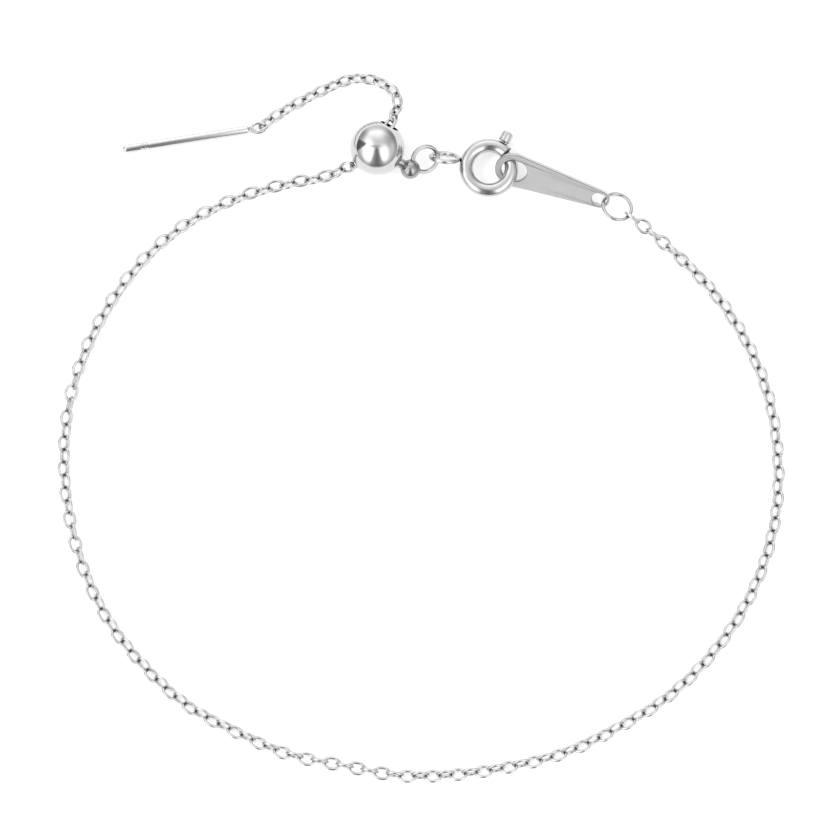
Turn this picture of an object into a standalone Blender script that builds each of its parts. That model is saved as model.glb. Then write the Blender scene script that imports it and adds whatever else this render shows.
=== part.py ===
"""Adjustable chain bracelet with a slider bead, a spring ring clasp and a threading needle.

The bracelet lies on the plane z = 0 as it was laid down: X runs to the right, Y away from
the viewer, Z up. All lengths are metres. The origin is under the middle of the bracelet.
"""

import math

import bmesh
import bpy
from mathutils import Matrix, Vector

MM = 0.001
DEGREE = math.radians(1.0)
WELD = 0.001 * MM
QUARTER_TURN = 90.0 * DEGREE
FULL_TURN = 360.0 * DEGREE
UP = Vector((0.0, 0.0, 1.0))
SHARP_ANGLE = 40.0 * DEGREE
SEARCH_STEPS = 30

# Chain: one cable link, and the round tube that a whole chain of them fills
LINK_LENGTH = 2.00 * MM
LINK_WIDTH = 1.45 * MM
LINK_WIRE = 0.40 * MM
LINK_SINK = 0.075 * MM
LINK_SIDES = 10
LINK_WIRE_SIDES = 6
CHAIN_DIAMETER = 1.45 * MM
CHAIN_ROUND_STEPS = 2
CHAIN_STEPS = 2

# Slider bead: a ball with an off-centre bore and a soldered eye
BEAD_DIAMETER = 5.46 * MM
BEAD_PLACE = Vector((-4.45 * MM, 27.83 * MM))
BEAD_SEGMENTS = 36
BEAD_RINGS = 18
BORE_DIAMETER = 1.90 * MM
BORE_OFFSET = 0.55 * MM
BORE_AZIMUTH = 47.5 * DEGREE
BORE_RISE = 12.0 * DEGREE
BORE_SIDES = 20
CHAIN_GAP = 0.30 * MM
CHAIN_MEET = 0.18 * MM
EYE_DIAMETER = 1.96 * MM
EYE_STEM = 0.27 * MM
EYE_NECK_DIAMETER = 1.00 * MM
EYE_AZIMUTH = -32.2 * DEGREE
EYE_DROP = 10.0 * DEGREE
EYE_WALL = 0.20 * MM
EYE_HOLE_PLAY = 0.08 * MM
EYE_SEGMENTS = 16
EYE_RINGS = 10

# Jump ring between the bead's eye and the clasp
BEAD_RING_DIAMETER = 3.09 * MM
BEAD_RING_WIRE = 0.43 * MM
BEAD_RING_AXIS = 45.0 * DEGREE
BEAD_RING_TILT = 31.0 * DEGREE
BEAD_RING_TURN = -12.0 * DEGREE

# Spring ring clasp
CLASP_MEAN_DIAMETER = 4.54 * MM
CLASP_TUBE = 1.38 * MM
CLASP_WALL = 0.15 * MM
CLASP_GAP_START = 17.0 * DEGREE
CLASP_GAP_END = 40.0 * DEGREE
CLASP_TILT_X = -7.0 * DEGREE
CLASP_TILT_Y = 0.9 * DEGREE
CLASP_ROUND_STEPS = 4
CLASP_BORE_ROUND_STEPS = 3
CLASP_BORE_PAST = 4.0 * DEGREE
CLASP_SEGMENTS = 44
BAIL_DIAMETER = 3.22 * MM
BAIL_WIRE = 0.48 * MM
BAIL_ANGLE = 167.0 * DEGREE
BAIL_SINK = 0.05 * MM
BAIL_PLAY = 0.27 * MM
BAIL_AXIS = -5.3 * DEGREE
BAIL_TILT = -69.0 * DEGREE
BAIL_AZIMUTH = 5.0 * DEGREE
BAIL_DROP = 9.5 * DEGREE
BOLT_WIRE = 0.74 * MM
BOLT_REACH = 8.0 * DEGREE
BOLT_TAIL = 14.0 * DEGREE
BOLT_TRAVEL = 33.0 * DEGREE
BOLT_SEGMENTS = 12
BOLT_ROUND_STEPS = 2
TRIGGER_ANGLE = 61.0 * DEGREE
TRIGGER_DIAMETER = 1.20 * MM
TRIGGER_HEIGHT = 1.05 * MM
TRIGGER_NECK = 0.40 * MM
TRIGGER_ROUND = 0.20 * MM
TRIGGER_ROUND_STEPS = 2
TRIGGER_SIDES = 16
TRIGGER_LIFT = 0.08 * MM
SLOT_PLAY = 0.13 * MM
SLOT_STEPS = 8
SLOT_ROUND_STEPS = 4

# End tab: a flat stamped tag with a hole at each end
TAB_SPAN = 8.98 * MM
TAB_WIDE_RADIUS = 1.94 * MM
TAB_NARROW_RADIUS = 1.03 * MM
TAB_THICKNESS = 0.44 * MM
TAB_WIDE_HOLE = 2.62 * MM
TAB_NARROW_HOLE = 1.58 * MM
TAB_EDGE = 0.05 * MM
TAB_EDGE_STEPS = 2
TAB_EDGE_ANGLE = 60.0 * DEGREE
TAB_ROLL = 39.7 * DEGREE
TAB_AZIMUTH = -18.5 * DEGREE
TAB_PITCH = 2.9 * DEGREE
TAB_HOLE_ANGLE = -4.7 * DEGREE
TAB_HOLE_PLAY = 0.33 * MM
TAB_HOLE_LIFT = 0.01 * MM
TAB_ARC_STEPS = 14
TAB_NARROW_HOLE_STEPS = 18

# Jump ring between the tab and the chain
TAB_RING_DIAMETER = 3.34 * MM
TAB_RING_WIRE = 0.37 * MM
TAB_RING_AXIS = -30.0 * DEGREE
TAB_RING_TILT = -31.0 * DEGREE
TAB_RING_TURN = 6.5 * DEGREE
TAB_RING_PLAY = 0.12 * MM
END_LINK_TURN = -7.0 * DEGREE
END_LINK_PLAY = 0.06 * MM
RING_SEGMENTS = 28
RING_SIDES = 8

# Threading needle on the tail of the chain
NEEDLE_LENGTH = 13.08 * MM
NEEDLE_DIAMETER = 0.87 * MM
NEEDLE_AZIMUTH = 189.0 * DEGREE
NEEDLE_SIDES = 14
NEEDLE_TIP_STEPS = 4
NEEDLE_SHOULDER = 0.45 * MM
GROOVE_PLACE = 2.20 * MM
GROOVE_WIDTH = 0.22 * MM
GROOVE_DEPTH = 0.09 * MM
NEEDLE_EYE_LENGTH = 1.75 * MM
NEEDLE_EYE_WIDTH = 1.40 * MM
NEEDLE_EYE_WIRE = 0.34 * MM
NEEDLE_EYE_SINK = 0.16 * MM
NEEDLE_EYE_ROLL = 150.0 * DEGREE
NEEDLE_EYE_PLACE = Vector((0.30 * MM, 0.08 * MM, -0.23 * MM))
NEEDLE_EYE_SIDES = 16

# Links of the tail, alternately rolled to either side of upright
TAIL_ROLL = 45.0 * DEGREE
TAIL_HEIGHT = 0.60 * MM
TAIL_STEPS = 12

# Route of the long chain from the tab's jump ring round to the bead, in millimetres
MAIN_ROUTE = [
    (25.7, 17.1), (29.6, 13.0), (32.6, 8.3), (34.7, 3.0), (35.6, -2.6), (35.5, -8.2),
    (34.2, -13.7), (31.8, -18.8), (28.5, -23.3), (24.3, -27.2), (19.5, -30.1), (14.4, -32.5),
    (8.9, -33.9), (3.3, -34.7), (-2.3, -34.8), (-7.9, -33.8), (-13.3, -32.7), (-18.5, -30.5),
    (-23.5, -27.8), (-27.7, -24.0), (-31.2, -19.6), (-33.7, -14.5), (-35.2, -9.1),
    (-35.8, -3.5), (-35.3, 2.1), (-33.7, 7.5), (-31.1, 12.5), (-27.6, 17.0), (-23.3, 20.5),
    (-18.2, 23.0), (-12.7, 24.5), (-9.2, 25.2),
]

# Route of the tail from the bead to the needle, in millimetres
TAIL_ROUTE = [
    (-2.3, 32.4), (-2.5, 33.3), (-3.9, 34.4), (-5.4, 34.9), (-7.0, 34.9),
    (-8.9, 34.2), (-11.2, 33.1), (-13.4, 31.9), (-15.0, 30.9), (-16.2, 29.9),
]

# Height of the chain over the ground as it climbs to the bead: share of the way, share of the rise
MAIN_CLIMB = [(0.26, 0.06), (0.52, 0.32), (0.78, 0.70)]
TAIL_CLIMB = [(0.22, 0.84), (0.55, 0.42), (0.84, 0.10)]


def remove_everything():
    for obj in list(bpy.data.objects):
        bpy.data.objects.remove(obj, do_unlink=True)


def new_collection(name):
    collection = bpy.data.collections.new(name)
    bpy.context.scene.collection.children.link(collection)
    return collection


def steel(name, colour, roughness):
    material = bpy.data.materials.new(name)
    material.use_nodes = True
    shader = material.node_tree.nodes["Principled BSDF"]
    shader.inputs["Base Color"].default_value = (*colour, 1.0)
    shader.inputs["Metallic"].default_value = 1.0
    shader.inputs["Roughness"].default_value = roughness
    return material


def move_to(obj, collection):
    for old in list(obj.users_collection):
        old.objects.unlink(obj)
    collection.objects.link(obj)


def as_part(obj, name, material):
    """Name an object as a sub-part, give it its material and shade its round faces smooth."""
    obj.name = name
    obj.data.name = name
    obj.data.materials.clear()
    obj.data.materials.append(material)
    if obj.type == "MESH":
        obj.data.shade_smooth()
        obj.data.set_sharp_from_angle(angle=SHARP_ANGLE)
    move_to(obj, bracelet)
    return obj


def as_cutter(obj, name):
    """Hide an object that only cuts or joins another."""
    obj.name = name
    obj.hide_render = True
    obj.display_type = "WIRE"
    move_to(obj, cutters)
    return obj


def boolean(target, operation, operand):
    modifier = target.modifiers.new(f"{operation.lower()} {operand.name}", "BOOLEAN")
    modifier.operation = operation
    modifier.solver = "EXACT"
    modifier.object = operand


def to_mesh(obj):
    """Turn a curve, or a mesh with modifiers, into a plain welded mesh in the same place."""
    bpy.context.view_layer.update()
    depsgraph = bpy.context.evaluated_depsgraph_get()
    mesh = bpy.data.meshes.new_from_object(obj.evaluated_get(depsgraph), depsgraph=depsgraph)
    solid = bmesh.new()
    solid.from_mesh(mesh)
    bmesh.ops.remove_doubles(solid, verts=solid.verts, dist=WELD)
    bmesh.ops.recalc_face_normals(solid, faces=solid.faces)
    solid.to_mesh(mesh)
    solid.free()
    result = bpy.data.objects.new(obj.name, mesh)
    bpy.context.scene.collection.objects.link(result)
    result.matrix_world = obj.matrix_world
    bpy.data.objects.remove(obj, do_unlink=True)
    return result


def place(obj, matrix):
    obj.matrix_world = matrix


def tilted(centre, axis_azimuth, tilt):
    """Frame of a flat ring: local X is its level axis, and local Y is raised by the tilt."""
    turn = Matrix.Rotation(axis_azimuth, 4, "Z") @ Matrix.Rotation(tilt, 4, "X")
    return Matrix.Translation(centre) @ turn


def direction(azimuth, rise=0.0):
    level = math.cos(rise)
    return Vector((level * math.cos(azimuth), level * math.sin(azimuth), math.sin(rise)))


def add_ring(mean_radius, wire_radius, matrix, segments=RING_SEGMENTS, sides=RING_SIDES):
    bpy.ops.mesh.primitive_torus_add(
        major_segments=segments,
        minor_segments=sides,
        major_radius=mean_radius,
        minor_radius=wire_radius,
    )
    ring = bpy.context.object
    place(ring, matrix)
    return ring


def add_link(length, width, wire, matrix, segments=LINK_SIDES, sides=LINK_WIRE_SIDES):
    """An oval link: a ring whose two halves are drawn apart along X."""
    link = add_ring((width - wire) / 2, wire / 2, matrix, segments, sides)
    half_straight = (length - width) / 2
    for vertex in link.data.vertices:
        if abs(vertex.co.x) > WELD:
            vertex.co.x += math.copysign(half_straight, vertex.co.x)
    return link


def add_cylinder(radius, depth, sides, matrix):
    bpy.ops.mesh.primitive_cylinder_add(vertices=sides, radius=radius, depth=depth)
    cylinder = bpy.context.object
    place(cylinder, matrix)
    return cylinder


def add_ball(radius, segments, rings, matrix):
    bpy.ops.mesh.primitive_uv_sphere_add(segments=segments, ring_count=rings, radius=radius)
    ball = bpy.context.object
    place(ball, matrix)
    return ball


def add_tube(points, radius, round_steps, matrix=None):
    """A round tube with closed ends along a list of points."""
    curve = bpy.data.curves.new("tube", "CURVE")
    curve.dimensions = "3D"
    curve.bevel_depth = radius
    curve.bevel_resolution = round_steps
    curve.use_fill_caps = True
    spline = curve.splines.new("POLY")
    spline.points.add(len(points) - 1)
    for spline_point, point in zip(spline.points, points):
        spline_point.co = (*point, 1.0)
    tube = bpy.data.objects.new("tube", curve)
    bpy.context.scene.collection.objects.link(tube)
    if matrix is not None:
        place(tube, matrix)
    return tube


def arc_points(radius, start, end, steps):
    """Points in the plane z = 0 along an arc about the origin."""
    points = []
    for step in range(steps + 1):
        angle = start + (end - start) * step / steps
        points.append(Vector((radius * math.cos(angle), radius * math.sin(angle), 0.0)))
    return points


def along(axis_x, up, centre):
    """Frame whose local X runs along axis_x, with local Z as near to up as it can be."""
    x = axis_x.normalized()
    y = up.cross(x).normalized()
    z = x.cross(y)
    turn = Matrix((x, y, z)).transposed().to_4x4()
    return Matrix.Translation(centre) @ turn


def standing(axis, centre):
    """Frame whose local Z runs along the axis, for a turned piece."""
    return along(axis, UP, centre) @ Matrix.Rotation(QUARTER_TURN, 4, "Y")


def smooth_route(points, steps, ground):
    """Points read from one smooth curve through the route's own points, held up by the ground."""
    count = len(points)
    tangents = []
    for index in range(count):
        before = points[max(index - 1, 0)]
        here = points[index]
        after = points[min(index + 1, count - 1)]
        first = (here - before).length
        second = (after - here).length
        if first == 0.0:
            tangents.append((after - here) / second)
        elif second == 0.0:
            tangents.append((here - before) / first)
        else:
            leaving = (after - here) / second
            arriving = (here - before) / first
            tangents.append((arriving * second + leaving * first) / (first + second))
    result = []
    for index in range(count - 1):
        start = points[index]
        end = points[index + 1]
        span = (end - start).length
        for step in range(steps):
            t = step / steps
            rise = t * t * (3.0 - 2.0 * t)
            bend_out = t * (1.0 - t) ** 2 * span
            bend_in = t * t * (t - 1.0) * span
            point = start.lerp(end, rise)
            point += tangents[index] * bend_out + tangents[index + 1] * bend_in
            point.z = max(point.z, ground)
            result.append(point)
    result.append(points[-1].copy())
    return result


def stations(points, pitch):
    """Places one pitch apart, measured straight from each to the next, along a dense route."""
    places = [points[0].copy()]
    for start, end in zip(points, points[1:]):
        while (end - places[-1]).length >= pitch:
            last = places[-1]
            low, high = 0.0, 1.0
            for _ in range(SEARCH_STEPS):
                middle = (low + high) / 2
                if (start.lerp(end, middle) - last).length < pitch:
                    low = middle
                else:
                    high = middle
            places.append(start.lerp(end, high))
            start = places[-1]
    return places


def climb(ground, mouth, shares, height):
    """Points where a chain leaves the ground towards a raised mouth."""
    points = []
    for way, rise in shares:
        point = ground.lerp(mouth, way)
        point.z = height + (mouth.z - height) * rise
        points.append(point)
    return points


# Places worked out from the sizes, from the bead outwards

bead_radius = BEAD_DIAMETER / 2
bead_centre = Vector((*BEAD_PLACE, bead_radius))
bore_axis = direction(BORE_AZIMUTH, BORE_RISE)
bore_middle = bead_centre + direction(BORE_AZIMUTH + QUARTER_TURN) * BORE_OFFSET
bore_half = math.sqrt(bead_radius**2 - BORE_OFFSET**2)

eye_radius = EYE_DIAMETER / 2
eye_direction = direction(EYE_AZIMUTH, -EYE_DROP)
eye_centre = bead_centre + eye_direction * (bead_radius + EYE_STEM + eye_radius)

bead_ring_wire = BEAD_RING_WIRE / 2
bead_ring_radius = BEAD_RING_DIAMETER / 2 - bead_ring_wire
eye_hole_radius = bead_ring_wire + EYE_HOLE_PLAY
eye_hole_offset = eye_radius - EYE_WALL - eye_hole_radius
bead_ring_turn = tilted(Vector(), BEAD_RING_AXIS, BEAD_RING_TILT)
bead_ring_reach = bead_ring_turn @ direction(BEAD_RING_TURN)
bead_ring_centre = eye_centre + bead_ring_reach * (eye_hole_offset + bead_ring_radius)
bead_ring_frame = tilted(bead_ring_centre, BEAD_RING_AXIS, BEAD_RING_TILT)

clasp_radius = CLASP_MEAN_DIAMETER / 2
clasp_tube = CLASP_TUBE / 2
clasp_bore = clasp_tube - CLASP_WALL
bail_wire = BAIL_WIRE / 2
bail_radius = BAIL_DIAMETER / 2 - bail_wire
bail_reach = bead_ring_radius + bail_radius - bead_ring_wire - bail_wire - BAIL_PLAY
bail_centre = bead_ring_centre + direction(BAIL_AZIMUTH, -BAIL_DROP) * bail_reach
bail_distance = clasp_radius + clasp_tube + BAIL_DIAMETER / 2 - BAIL_SINK
clasp_turn = Matrix.Rotation(CLASP_TILT_X, 4, "X") @ Matrix.Rotation(CLASP_TILT_Y, 4, "Y")
clasp_centre = bail_centre - clasp_turn @ (direction(BAIL_ANGLE) * bail_distance)
clasp_frame = Matrix.Translation(clasp_centre) @ clasp_turn

tab_turn = (
    Matrix.Rotation(TAB_AZIMUTH, 4, "Z")
    @ Matrix.Rotation(TAB_PITCH, 4, "Y")
    @ Matrix.Rotation(TAB_ROLL, 4, "X")
)
tab_hole_reach = clasp_radius + TAB_WIDE_HOLE / 2 - clasp_tube - TAB_HOLE_PLAY
tab_hole_place = direction(TAB_HOLE_ANGLE) * tab_hole_reach + Vector((0.0, 0.0, TAB_HOLE_LIFT))
tab_centre = clasp_frame @ tab_hole_place
tab_frame = Matrix.Translation(tab_centre) @ tab_turn

tab_ring_wire = TAB_RING_WIRE / 2
tab_ring_radius = TAB_RING_DIAMETER / 2 - tab_ring_wire
tab_ring_turn = tilted(Vector(), TAB_RING_AXIS, TAB_RING_TILT)
tab_ring_offset = TAB_NARROW_HOLE / 2 - tab_ring_wire - TAB_RING_PLAY
tab_ring_reach = tab_ring_turn @ direction(TAB_RING_TURN)
tab_narrow_centre = tab_frame @ Vector((TAB_SPAN, 0.0, 0.0))
tab_ring_centre = tab_narrow_centre + tab_ring_reach * (tab_ring_offset + tab_ring_radius)
tab_ring_frame = tilted(tab_ring_centre, TAB_RING_AXIS, TAB_RING_TILT)

link_half = (LINK_LENGTH - LINK_WIRE) / 2
link_pitch = LINK_LENGTH - 2 * LINK_WIRE + LINK_SINK
end_link_reach = tab_ring_turn @ direction(END_LINK_TURN)
end_link_hold = tab_ring_centre + end_link_reach * tab_ring_radius
end_link_offset = link_half - (LINK_WIRE + TAB_RING_WIRE) / 2 - END_LINK_PLAY
end_link_direction = Vector((end_link_reach.x, end_link_reach.y, 0.0)).normalized()
end_link_centre = end_link_hold + end_link_direction * end_link_offset


def main_chain_route():
    """From the end link, along the ground, and up into the lower mouth of the bead."""
    height = CHAIN_DIAMETER / 2
    start = end_link_centre + end_link_direction * link_half
    ground = [Vector((x * MM, y * MM, height)) for x, y in MAIN_ROUTE]
    mouth = bore_middle - bore_axis * bore_half
    end = bore_middle + bore_axis * (CHAIN_MEET - CHAIN_GAP / 2)
    return [start, *ground, *climb(ground[-1], mouth, MAIN_CLIMB, height), mouth, end]


def tail_chain_route():
    """Out of the upper mouth of the bead, over its lip, and along the ground to the needle."""
    ground = [Vector((x * MM, y * MM, TAIL_HEIGHT)) for x, y in TAIL_ROUTE]
    mouth = bore_middle + bore_axis * bore_half
    first_place = CHAIN_MEET + CHAIN_GAP / 2 + (LINK_LENGTH - link_pitch) / 2
    start = bore_middle + bore_axis * first_place
    shares = [(1.0 - way, rise) for way, rise in TAIL_CLIMB]
    descent = climb(ground[0], mouth, shares, TAIL_HEIGHT)
    return [start, mouth, *descent, *ground]


def rolled(axis_x, centre, roll):
    """Frame along an axis, turned about it from level by the roll."""
    return along(axis_x, UP, centre) @ Matrix.Rotation(roll, 4, "X")


def link_roll(index):
    """Each link of the tail is rolled a quarter turn from the last."""
    return TAIL_ROLL + QUARTER_TURN * (index % 2)


def tail_link_frames():
    """One frame between each two places along the tail's route."""
    route = smooth_route(tail_chain_route(), TAIL_STEPS, TAIL_HEIGHT)
    places = stations(route, link_pitch)
    frames = []
    for index, (start, end) in enumerate(zip(places, places[1:])):
        frames.append(rolled(end - start, (start + end) / 2, link_roll(index)))
    return frames


def join_objects(objects):
    """Join objects that lie clear of each other into one."""
    with bpy.context.temp_override(active_object=objects[0], selected_editable_objects=objects):
        bpy.ops.object.join()
    return objects[0]


def build_main_chain():
    """The long chain as a tube of its envelope, with its real first link on the jump ring."""
    radius = CHAIN_DIAMETER / 2
    route = smooth_route(main_chain_route(), CHAIN_STEPS, radius)
    chain = to_mesh(add_tube(route, radius, CHAIN_ROUND_STEPS))
    upright = rolled(end_link_direction, end_link_centre, QUARTER_TURN)
    end_link = add_link(LINK_LENGTH, LINK_WIDTH, LINK_WIRE, upright)
    boolean(chain, "UNION", as_cutter(end_link, "end_link"))
    return as_part(chain, "main_chain", chain_steel)


def build_tail_chain(frames):
    """The tail as real links, every other one joined first so that one union fuses them all."""
    links = [add_link(LINK_LENGTH, LINK_WIDTH, LINK_WIRE, frame) for frame in frames]
    chain = join_objects(links[0::2])
    crossing = join_objects(links[1::2])
    boolean(chain, "UNION", as_cutter(crossing, "crossing_links"))
    return as_part(chain, "tail_chain", chain_steel)


def build_slider_bead():
    ball = add_ball(bead_radius, BEAD_SEGMENTS, BEAD_RINGS, Matrix.Translation(bead_centre))
    eye = add_ball(eye_radius, EYE_SEGMENTS, EYE_RINGS, Matrix.Translation(eye_centre))
    neck_length = (eye_centre - bead_centre).length
    neck_frame = standing(eye_direction, (bead_centre + eye_centre) / 2)
    neck = add_cylinder(EYE_NECK_DIAMETER / 2, neck_length, EYE_SEGMENTS, neck_frame)
    bore_frame = standing(bore_axis, bore_middle)
    bore = add_cylinder(BORE_DIAMETER / 2, 2 * BEAD_DIAMETER, BORE_SIDES, bore_frame)
    hole = add_ring(bead_ring_radius, eye_hole_radius, bead_ring_frame)
    boolean(ball, "UNION", as_cutter(neck, "eye_neck"))
    boolean(ball, "UNION", as_cutter(eye, "eye_knob"))
    boolean(ball, "DIFFERENCE", as_cutter(bore, "bead_bore"))
    boolean(ball, "DIFFERENCE", as_cutter(hole, "eye_hole"))
    return as_part(ball, "slider_bead", polished_steel)


def build_bead_ring():
    ring = add_ring(bead_ring_radius, bead_ring_wire, bead_ring_frame)
    return as_part(ring, "bead_ring", polished_steel)


def build_clasp_body():
    """A hollow tube bent round to a gap, slotted for the trigger, with its bail soldered on."""
    start = CLASP_GAP_END
    end = CLASP_GAP_START + FULL_TURN
    outer = arc_points(clasp_radius, start, end, CLASP_SEGMENTS)
    inner = arc_points(clasp_radius, start - CLASP_BORE_PAST, end + CLASP_BORE_PAST, CLASP_SEGMENTS)
    body = to_mesh(add_tube(outer, clasp_tube, CLASP_ROUND_STEPS, clasp_frame))
    bore = to_mesh(add_tube(inner, clasp_bore, CLASP_BORE_ROUND_STEPS, clasp_frame))
    bail_frame = tilted(bail_centre, BAIL_AXIS, BAIL_TILT)
    bail = add_ring(bail_radius, bail_wire, bail_frame)
    slot_radius = TRIGGER_NECK / 2 + SLOT_PLAY
    slot_centre = clasp_radius + clasp_tube - CLASP_WALL / 2
    slot_points = arc_points(slot_centre, TRIGGER_ANGLE, TRIGGER_ANGLE + BOLT_TRAVEL, SLOT_STEPS)
    first_step = (slot_points[0] - slot_points[1]).normalized() * slot_radius
    last_step = (slot_points[-1] - slot_points[-2]).normalized() * slot_radius
    slot_points = [slot_points[0] + first_step, *slot_points, slot_points[-1] + last_step]
    slot = to_mesh(add_tube(slot_points, slot_radius, SLOT_ROUND_STEPS, clasp_frame))
    boolean(body, "UNION", as_cutter(bail, "clasp_bail"))
    boolean(body, "DIFFERENCE", as_cutter(bore, "clasp_bore"))
    boolean(body, "DIFFERENCE", as_cutter(slot, "trigger_slot"))
    return as_part(body, "clasp_body", polished_steel)


def build_clasp_bolt():
    """The curved bolt that closes the gap, turned about the clasp's middle by its trigger."""
    start = CLASP_GAP_START - BOLT_REACH
    end = TRIGGER_ANGLE + BOLT_TAIL
    route = arc_points(clasp_radius, start, end, BOLT_SEGMENTS)
    bolt = to_mesh(add_tube(route, BOLT_WIRE / 2, BOLT_ROUND_STEPS, clasp_frame))
    foot = clasp_radius + clasp_tube + TRIGGER_LIFT
    spoke = direction(TRIGGER_ANGLE)
    neck_length = foot + TRIGGER_HEIGHT / 2 - clasp_radius
    neck_frame = clasp_frame @ standing(spoke, spoke * (clasp_radius + neck_length / 2))
    neck = add_cylinder(TRIGGER_NECK / 2, neck_length, TRIGGER_SIDES, neck_frame)
    head_frame = clasp_frame @ standing(spoke, spoke * (foot + TRIGGER_HEIGHT / 2))
    head = add_cylinder(TRIGGER_DIAMETER / 2, TRIGGER_HEIGHT, TRIGGER_SIDES, head_frame)
    bevel = head.modifiers.new("round top", "BEVEL")
    bevel.width = TRIGGER_ROUND
    bevel.segments = TRIGGER_ROUND_STEPS
    bevel.limit_method = "WEIGHT"
    weights = head.data.attributes.new("bevel_weight_edge", "FLOAT", "EDGE")
    for edge in head.data.edges:
        ends = [head.data.vertices[index].co.z for index in edge.vertices]
        weights.data[edge.index].value = 1.0 if min(ends) > 0.0 else 0.0
    boolean(bolt, "UNION", as_cutter(neck, "trigger_neck"))
    boolean(bolt, "UNION", as_cutter(head, "trigger_head"))
    return as_part(bolt, "clasp_bolt", polished_steel)


def tab_outline():
    """Two unlike round ends and the straight edges that touch both."""
    lean = math.asin((TAB_WIDE_RADIUS - TAB_NARROW_RADIUS) / TAB_SPAN)
    touch = QUARTER_TURN - lean
    wide = arc_points(TAB_WIDE_RADIUS, touch, FULL_TURN - touch, 2 * TAB_ARC_STEPS)
    narrow = arc_points(TAB_NARROW_RADIUS, -touch, touch, TAB_ARC_STEPS)
    middle = Vector((TAB_SPAN, 0.0, 0.0))
    return wide + [point + middle for point in narrow]


def hole_outline(radius, centre, steps):
    return [point + centre for point in arc_points(radius, 0.0, FULL_TURN, steps)[:-1]]


def build_end_tab():
    curve = bpy.data.curves.new("end_tab", "CURVE")
    curve.dimensions = "2D"
    curve.fill_mode = "BOTH"
    curve.extrude = TAB_THICKNESS / 2
    narrow_centre = Vector((TAB_SPAN, 0.0, 0.0))
    outlines = [
        tab_outline(),
        hole_outline(TAB_WIDE_HOLE / 2, Vector(), 2 * TAB_ARC_STEPS),
        hole_outline(TAB_NARROW_HOLE / 2, narrow_centre, TAB_NARROW_HOLE_STEPS),
    ]
    for outline in outlines:
        spline = curve.splines.new("POLY")
        spline.points.add(len(outline) - 1)
        spline.use_cyclic_u = True
        for spline_point, point in zip(spline.points, outline):
            spline_point.co = (*point, 1.0)
    tab = bpy.data.objects.new("end_tab", curve)
    bpy.context.scene.collection.objects.link(tab)
    place(tab, tab_frame)
    tab = to_mesh(tab)
    bevel = tab.modifiers.new("rounded edges", "BEVEL")
    bevel.width = TAB_EDGE
    bevel.segments = TAB_EDGE_STEPS
    bevel.limit_method = "ANGLE"
    bevel.angle_limit = TAB_EDGE_ANGLE
    return as_part(tab, "end_tab", brushed_steel)


def build_tab_ring():
    ring = add_ring(tab_ring_radius, tab_ring_wire, tab_ring_frame)
    return as_part(ring, "tab_ring", polished_steel)


def needle_profile():
    """Radius and place along the needle, from its shoulder by the eye to its round tip."""
    radius = NEEDLE_DIAMETER / 2
    eye_end = NEEDLE_EYE_WIRE / 2
    profile = [(0.0, 0.0), (eye_end, 0.0), (radius, NEEDLE_SHOULDER)]
    groove = NEEDLE_LENGTH - GROOVE_PLACE
    slope = GROOVE_DEPTH
    for place_along in (groove - GROOVE_WIDTH, groove + GROOVE_WIDTH):
        profile.append((radius, place_along - GROOVE_WIDTH / 2 - slope))
        profile.append((radius - GROOVE_DEPTH, place_along - GROOVE_WIDTH / 2))
        profile.append((radius - GROOVE_DEPTH, place_along + GROOVE_WIDTH / 2 - slope))
        profile.append((radius, place_along + GROOVE_WIDTH / 2))
    for step in range(NEEDLE_TIP_STEPS + 1):
        angle = QUARTER_TURN * step / NEEDLE_TIP_STEPS
        along_tip = NEEDLE_LENGTH - radius + radius * math.sin(angle)
        across = radius * math.cos(angle) if step < NEEDLE_TIP_STEPS else 0.0
        profile.append((across, along_tip))
    return profile


def build_needle(last_link):
    """A round bar with a grooved round tip, and an oval eye that the last link holds."""
    eye_near = last_link @ NEEDLE_EYE_PLACE
    level = direction(NEEDLE_AZIMUTH)
    eye_half = (NEEDLE_EYE_LENGTH - NEEDLE_EYE_WIRE) / 2
    bar_start = eye_near.z
    fall = (bar_start - NEEDLE_DIAMETER / 2) / (NEEDLE_LENGTH + NEEDLE_EYE_LENGTH)
    axis = Vector((level.x, level.y, -fall)).normalized()
    eye_frame = rolled(axis, eye_near + axis * eye_half, NEEDLE_EYE_ROLL)
    eye = add_link(
        NEEDLE_EYE_LENGTH,
        NEEDLE_EYE_WIDTH,
        NEEDLE_EYE_WIRE,
        eye_frame,
        segments=NEEDLE_EYE_SIDES,
    )
    bar_place = eye_near + axis * (2 * eye_half + NEEDLE_EYE_WIRE / 2 - NEEDLE_EYE_SINK)
    bar_frame = standing(axis, bar_place)
    mesh = bpy.data.meshes.new("needle")
    outline = [(radius, 0.0, height) for radius, height in reversed(needle_profile())]
    mesh.from_pydata(outline, [(index, index + 1) for index in range(len(outline) - 1)], [])
    bar = bpy.data.objects.new("needle", mesh)
    bpy.context.scene.collection.objects.link(bar)
    place(bar, bar_frame)
    screw = bar.modifiers.new("turned", "SCREW")
    screw.axis = "Z"
    screw.steps = NEEDLE_SIDES
    screw.render_steps = NEEDLE_SIDES
    screw.use_merge_vertices = True
    screw.merge_threshold = WELD
    boolean(bar, "UNION", as_cutter(eye, "needle_eye"))
    return as_part(bar, "needle", polished_steel)


remove_everything()
bracelet = new_collection("chain_bracelet")
cutters = new_collection("chain_bracelet_cutters")
polished_steel = steel("polished_steel", (0.80, 0.80, 0.80), 0.12)
chain_steel = steel("chain_steel", (0.78, 0.78, 0.78), 0.20)
brushed_steel = steel("brushed_steel", (0.66, 0.66, 0.66), 0.38)

tail_frames = tail_link_frames()
build_main_chain()
build_tail_chain(tail_frames)
build_slider_bead()
build_bead_ring()
build_clasp_body()
build_clasp_bolt()
build_end_tab()
build_tab_ring()
build_needle(tail_frames[-1])
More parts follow.
